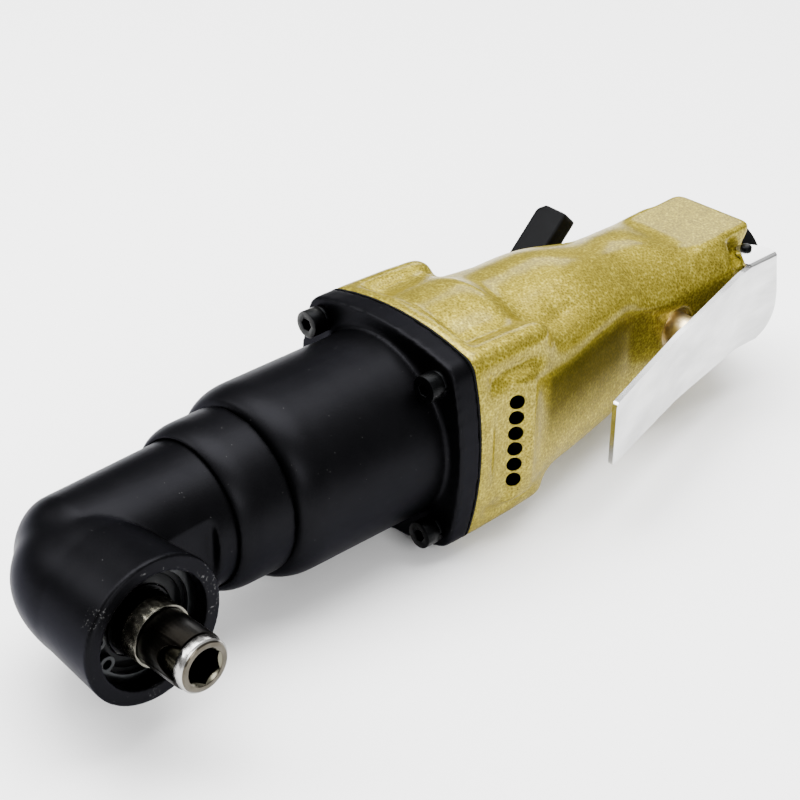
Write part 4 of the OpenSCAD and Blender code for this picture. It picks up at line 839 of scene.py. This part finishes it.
def lever_plate():
    """The bent plate, with the photograph's plan in X and Z, cut across where it bends."""
    fine = 0.0009
    plan = [(0.0072, 0.0), (0.0089, 0.0110), (0.0192, 0.0110), (0.0192, 0.0116), (0.022, 0.0111),
            (0.05, 0.0085)]
    plan += arc(0.0912, 0.0051, 0.0015, 90, 0) + arc(0.0921, -0.0108, 0.0006, 0, -90, 4)
    plan += [(0.05, -0.0118), (0.034, -0.0121)] + arc(0.0162, -0.0032, 0.009, -90, -180, 14)
    bm = bmesh.new()
    bm.faces.new([bm.verts.new((x, 0.0, z)) for x, z in plan])
    cuts = [0.012 + fine * k for k in range(24)] + [0.040, 0.047]
    cuts += [0.052 + fine * k for k in range(10)] + [0.070, 0.080]
    for x in cuts:
        bmesh.ops.bisect_plane(bm, geom=bm.verts[:] + bm.edges[:] + bm.faces[:],
                               plane_co=(x, 0, 0), plane_no=(1, 0, 0))
    for v in bm.verts:
        v.co.y = lever_height(v.co.x)
    made = bmesh.ops.extrude_face_region(bm, geom=bm.faces[:])
    for v in made["geom"]:
        if isinstance(v, bmesh.types.BMVert):
            v.co.y += SHEET_T
    bmesh.ops.recalc_face_normals(bm, faces=bm.faces[:])
    return ordered_object("lever_sheet", bm)


def lever_ear(side):
    """One ear: a tongue from the plate round the pin; the far one starts behind the round corner."""
    corner_x, tongue_x, root_y, slack = 0.0140, 0.0112, 0.018, 0.0001
    top = lever_height(0.01) + SHEET_T
    shape = [(0.0088, top), (0.0192, top), (0.0200, 0.0205), (0.0163, 0.0160), (0.0160, 0.0146)]
    shape += arc(PIN_X, PIN_Y, 0.0027, -20, -150) + [(0.0092, 0.0165), (0.0082, 0.0195)]
    if side < 0:
        shape = [(max(x, corner_x if y > root_y else tongue_x), y) for x, y in shape]
    bm = bmesh.new()
    near = [bm.verts.new((x, y, side * EAR_IN)) for x, y in shape]
    far = [bm.verts.new((x, y, side * EAR_OUT)) for x, y in shape]
    bm.faces.new(near)
    bm.faces.new(far[::-1])
    for k in range(len(shape)):
        m = (k + 1) % len(shape)
        bm.faces.new((near[k], far[k], far[m], near[m]))
    bmesh.ops.recalc_face_normals(bm, faces=bm.faces[:])
    if side > 0:
        fold = [edge for edge in bm.edges
                if all(v in far and v.co.y > top - slack for v in edge.verts)]
        bmesh.ops.bevel(bm, geom=fold, offset=FOLD_R, segments=6, profile=0.5, affect="EDGES")
    return new_object("ear", bm)


def folded_lever():
    """The lever as a folded sheet: the plate and two ears round the pin, with a rounded fold."""
    sheet = lever_plate()
    for side in (1, -1):
        join(sheet, lever_ear(side), "UNION")
    return sheet


def carry(obj, body, node):
    """Makes a piece ride on a body, and hides the node that it stands for."""
    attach(obj, body)
    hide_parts(node)


def dress_casts(mats):
    for cast in CASTS:
        obj = cast_copy(cast)
        paint(obj, mats[MATERIAL_OF[cast.node]])
        carry(obj, cast.body, cast.node)


def dress_turned(mats):
    """Copies of plain nodes, with a few points moved."""
    gasket = plain_copy("case_gasket", "gasket_sheet")
    reshape(gasket, trim_flange)
    spindle = plain_copy("spindle", "spindle_turned")
    reshape(spindle, shorten_band)
    sleeve = plain_copy("chuck_sleeve", "sleeve_turned")
    reshape(sleeve, draw_out_sleeve)
    pin = plain_copy("lever_pin", "pin_headed")
    pinned_head(pin.data)
    for obj, body, node, slot in ((gasket, "housing", "case_gasket", "gasket_sheet"),
                                  (spindle, "spindle", "spindle", "spindle_steel"),
                                  (sleeve, "sleeve", "chuck_sleeve", "gun_steel"),
                                  (pin, "housing", "lever_pin", "black_steel")):
        paint(obj, mats[MATERIAL_OF[node]])
        shade(obj)
        if obj in (spindle, sleeve):
            crisp(obj, EDGE)
        carry(obj, body, node)


def dress_springs(mats):
    """Copies of the coil springs, left where they stand."""
    for node, name, base, mover in (("throttle_spring", "throttle_coil", "housing", "valve"),
                                    ("chuck_spring", "chuck_coil", "spindle", "sleeve")):
        coil = plain_copy(node, name)
        paint(coil, mats[MATERIAL_OF[node]])
        shade(coil)
        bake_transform(coil)
        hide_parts(node)


def dress_lever(mats):
    sheet = folded_lever()
    paint(sheet, mats["lever"])
    shade(sheet)
    crisp(sheet, SHEET_EDGE, 3)
    carry(sheet, "lever", "lever")


def build_floor():
    half = 4.0
    z = CAD_BOX[0][2] - FLOOR_GAP
    mesh = bpy.data.meshes.new("floor")
    corners = [(-half, -half, z), (half, -half, z), (half, half, z), (-half, half, z)]
    mesh.from_pydata(corners, [], [(0, 1, 2, 3)])
    floor = linked("floor", mesh)
    n = Nodes("pale_floor")
    n.set(Base_Color=(0.92, 0.92, 0.92), Roughness=0.9, Specular_IOR_Level=0.1)
    paint(floor, n.mat)


def build_world():
    """A plain sky, pale above and darker below."""
    world = bpy.data.worlds.new("studio")
    bpy.context.scene.world = world
    world.use_nodes = True
    tree = world.node_tree
    coord = tree.nodes.new("ShaderNodeTexCoord")
    split = tree.nodes.new("ShaderNodeSeparateXYZ")
    ramp = tree.nodes.new("ShaderNodeValToRGB")
    back = tree.nodes["Background"]
    for element, (pos, v) in zip(ramp.color_ramp.elements, ((0.0, 0.16), (0.8, 0.9))):
        element.position = pos
        element.color = (v, v, v, 1.0)
    tree.links.new(coord.outputs["Generated"], split.inputs[0])
    tree.links.new(split.outputs["Z"], ramp.inputs["Fac"])
    tree.links.new(ramp.outputs["Color"], back.inputs["Color"])
    back.inputs["Strength"].default_value = 1.6


def area(name, place, target, size, power):
    data = bpy.data.lights.new(name, "AREA")
    data.shape = "RECTANGLE"
    data.size, data.size_y = size
    data.energy = power
    obj = linked(name, data)
    obj.location = place
    obj.rotation_mode = "QUATERNION"
    obj.rotation_quaternion = (Vector(target) - Vector(place)).to_track_quat("-Z", "Y")


def build_lights():
    middle = (0.13, 0.0, 0.0)
    inlet = (0.02, 0.0, 0.0)
    area("top", (0.05, -0.1, 0.8), middle, size=(0.9, 0.7), power=29.0)
    area("back", (-0.62, -0.52, 0.46), inlet, size=(0.3, 0.25), power=1.7)
    area("left", (0.55, -0.45, 0.5), middle, size=(0.3, 0.5), power=6.0)
    area("front", (0.45, 0.75, 0.45), middle, size=(0.5, 0.3), power=6.0)


def main():
    build_camera()
    mats = build_materials()
    for name, obj in NODES.items():
        paint(obj, mats[MATERIAL_OF.get(name, "bright")])
        shade(obj)
    for name in ("case_screws", "screw_washers", "air_inlet_bushing", "throttle_button",
                 "head_circlip", "bearing_shield"):
        crisp(NODES[name], EDGE)
    dress_casts(mats)
    dress_turned(mats)
    dress_springs(mats)
    dress_lever(mats)
    build_floor()
    build_world()
    build_lights()


main()
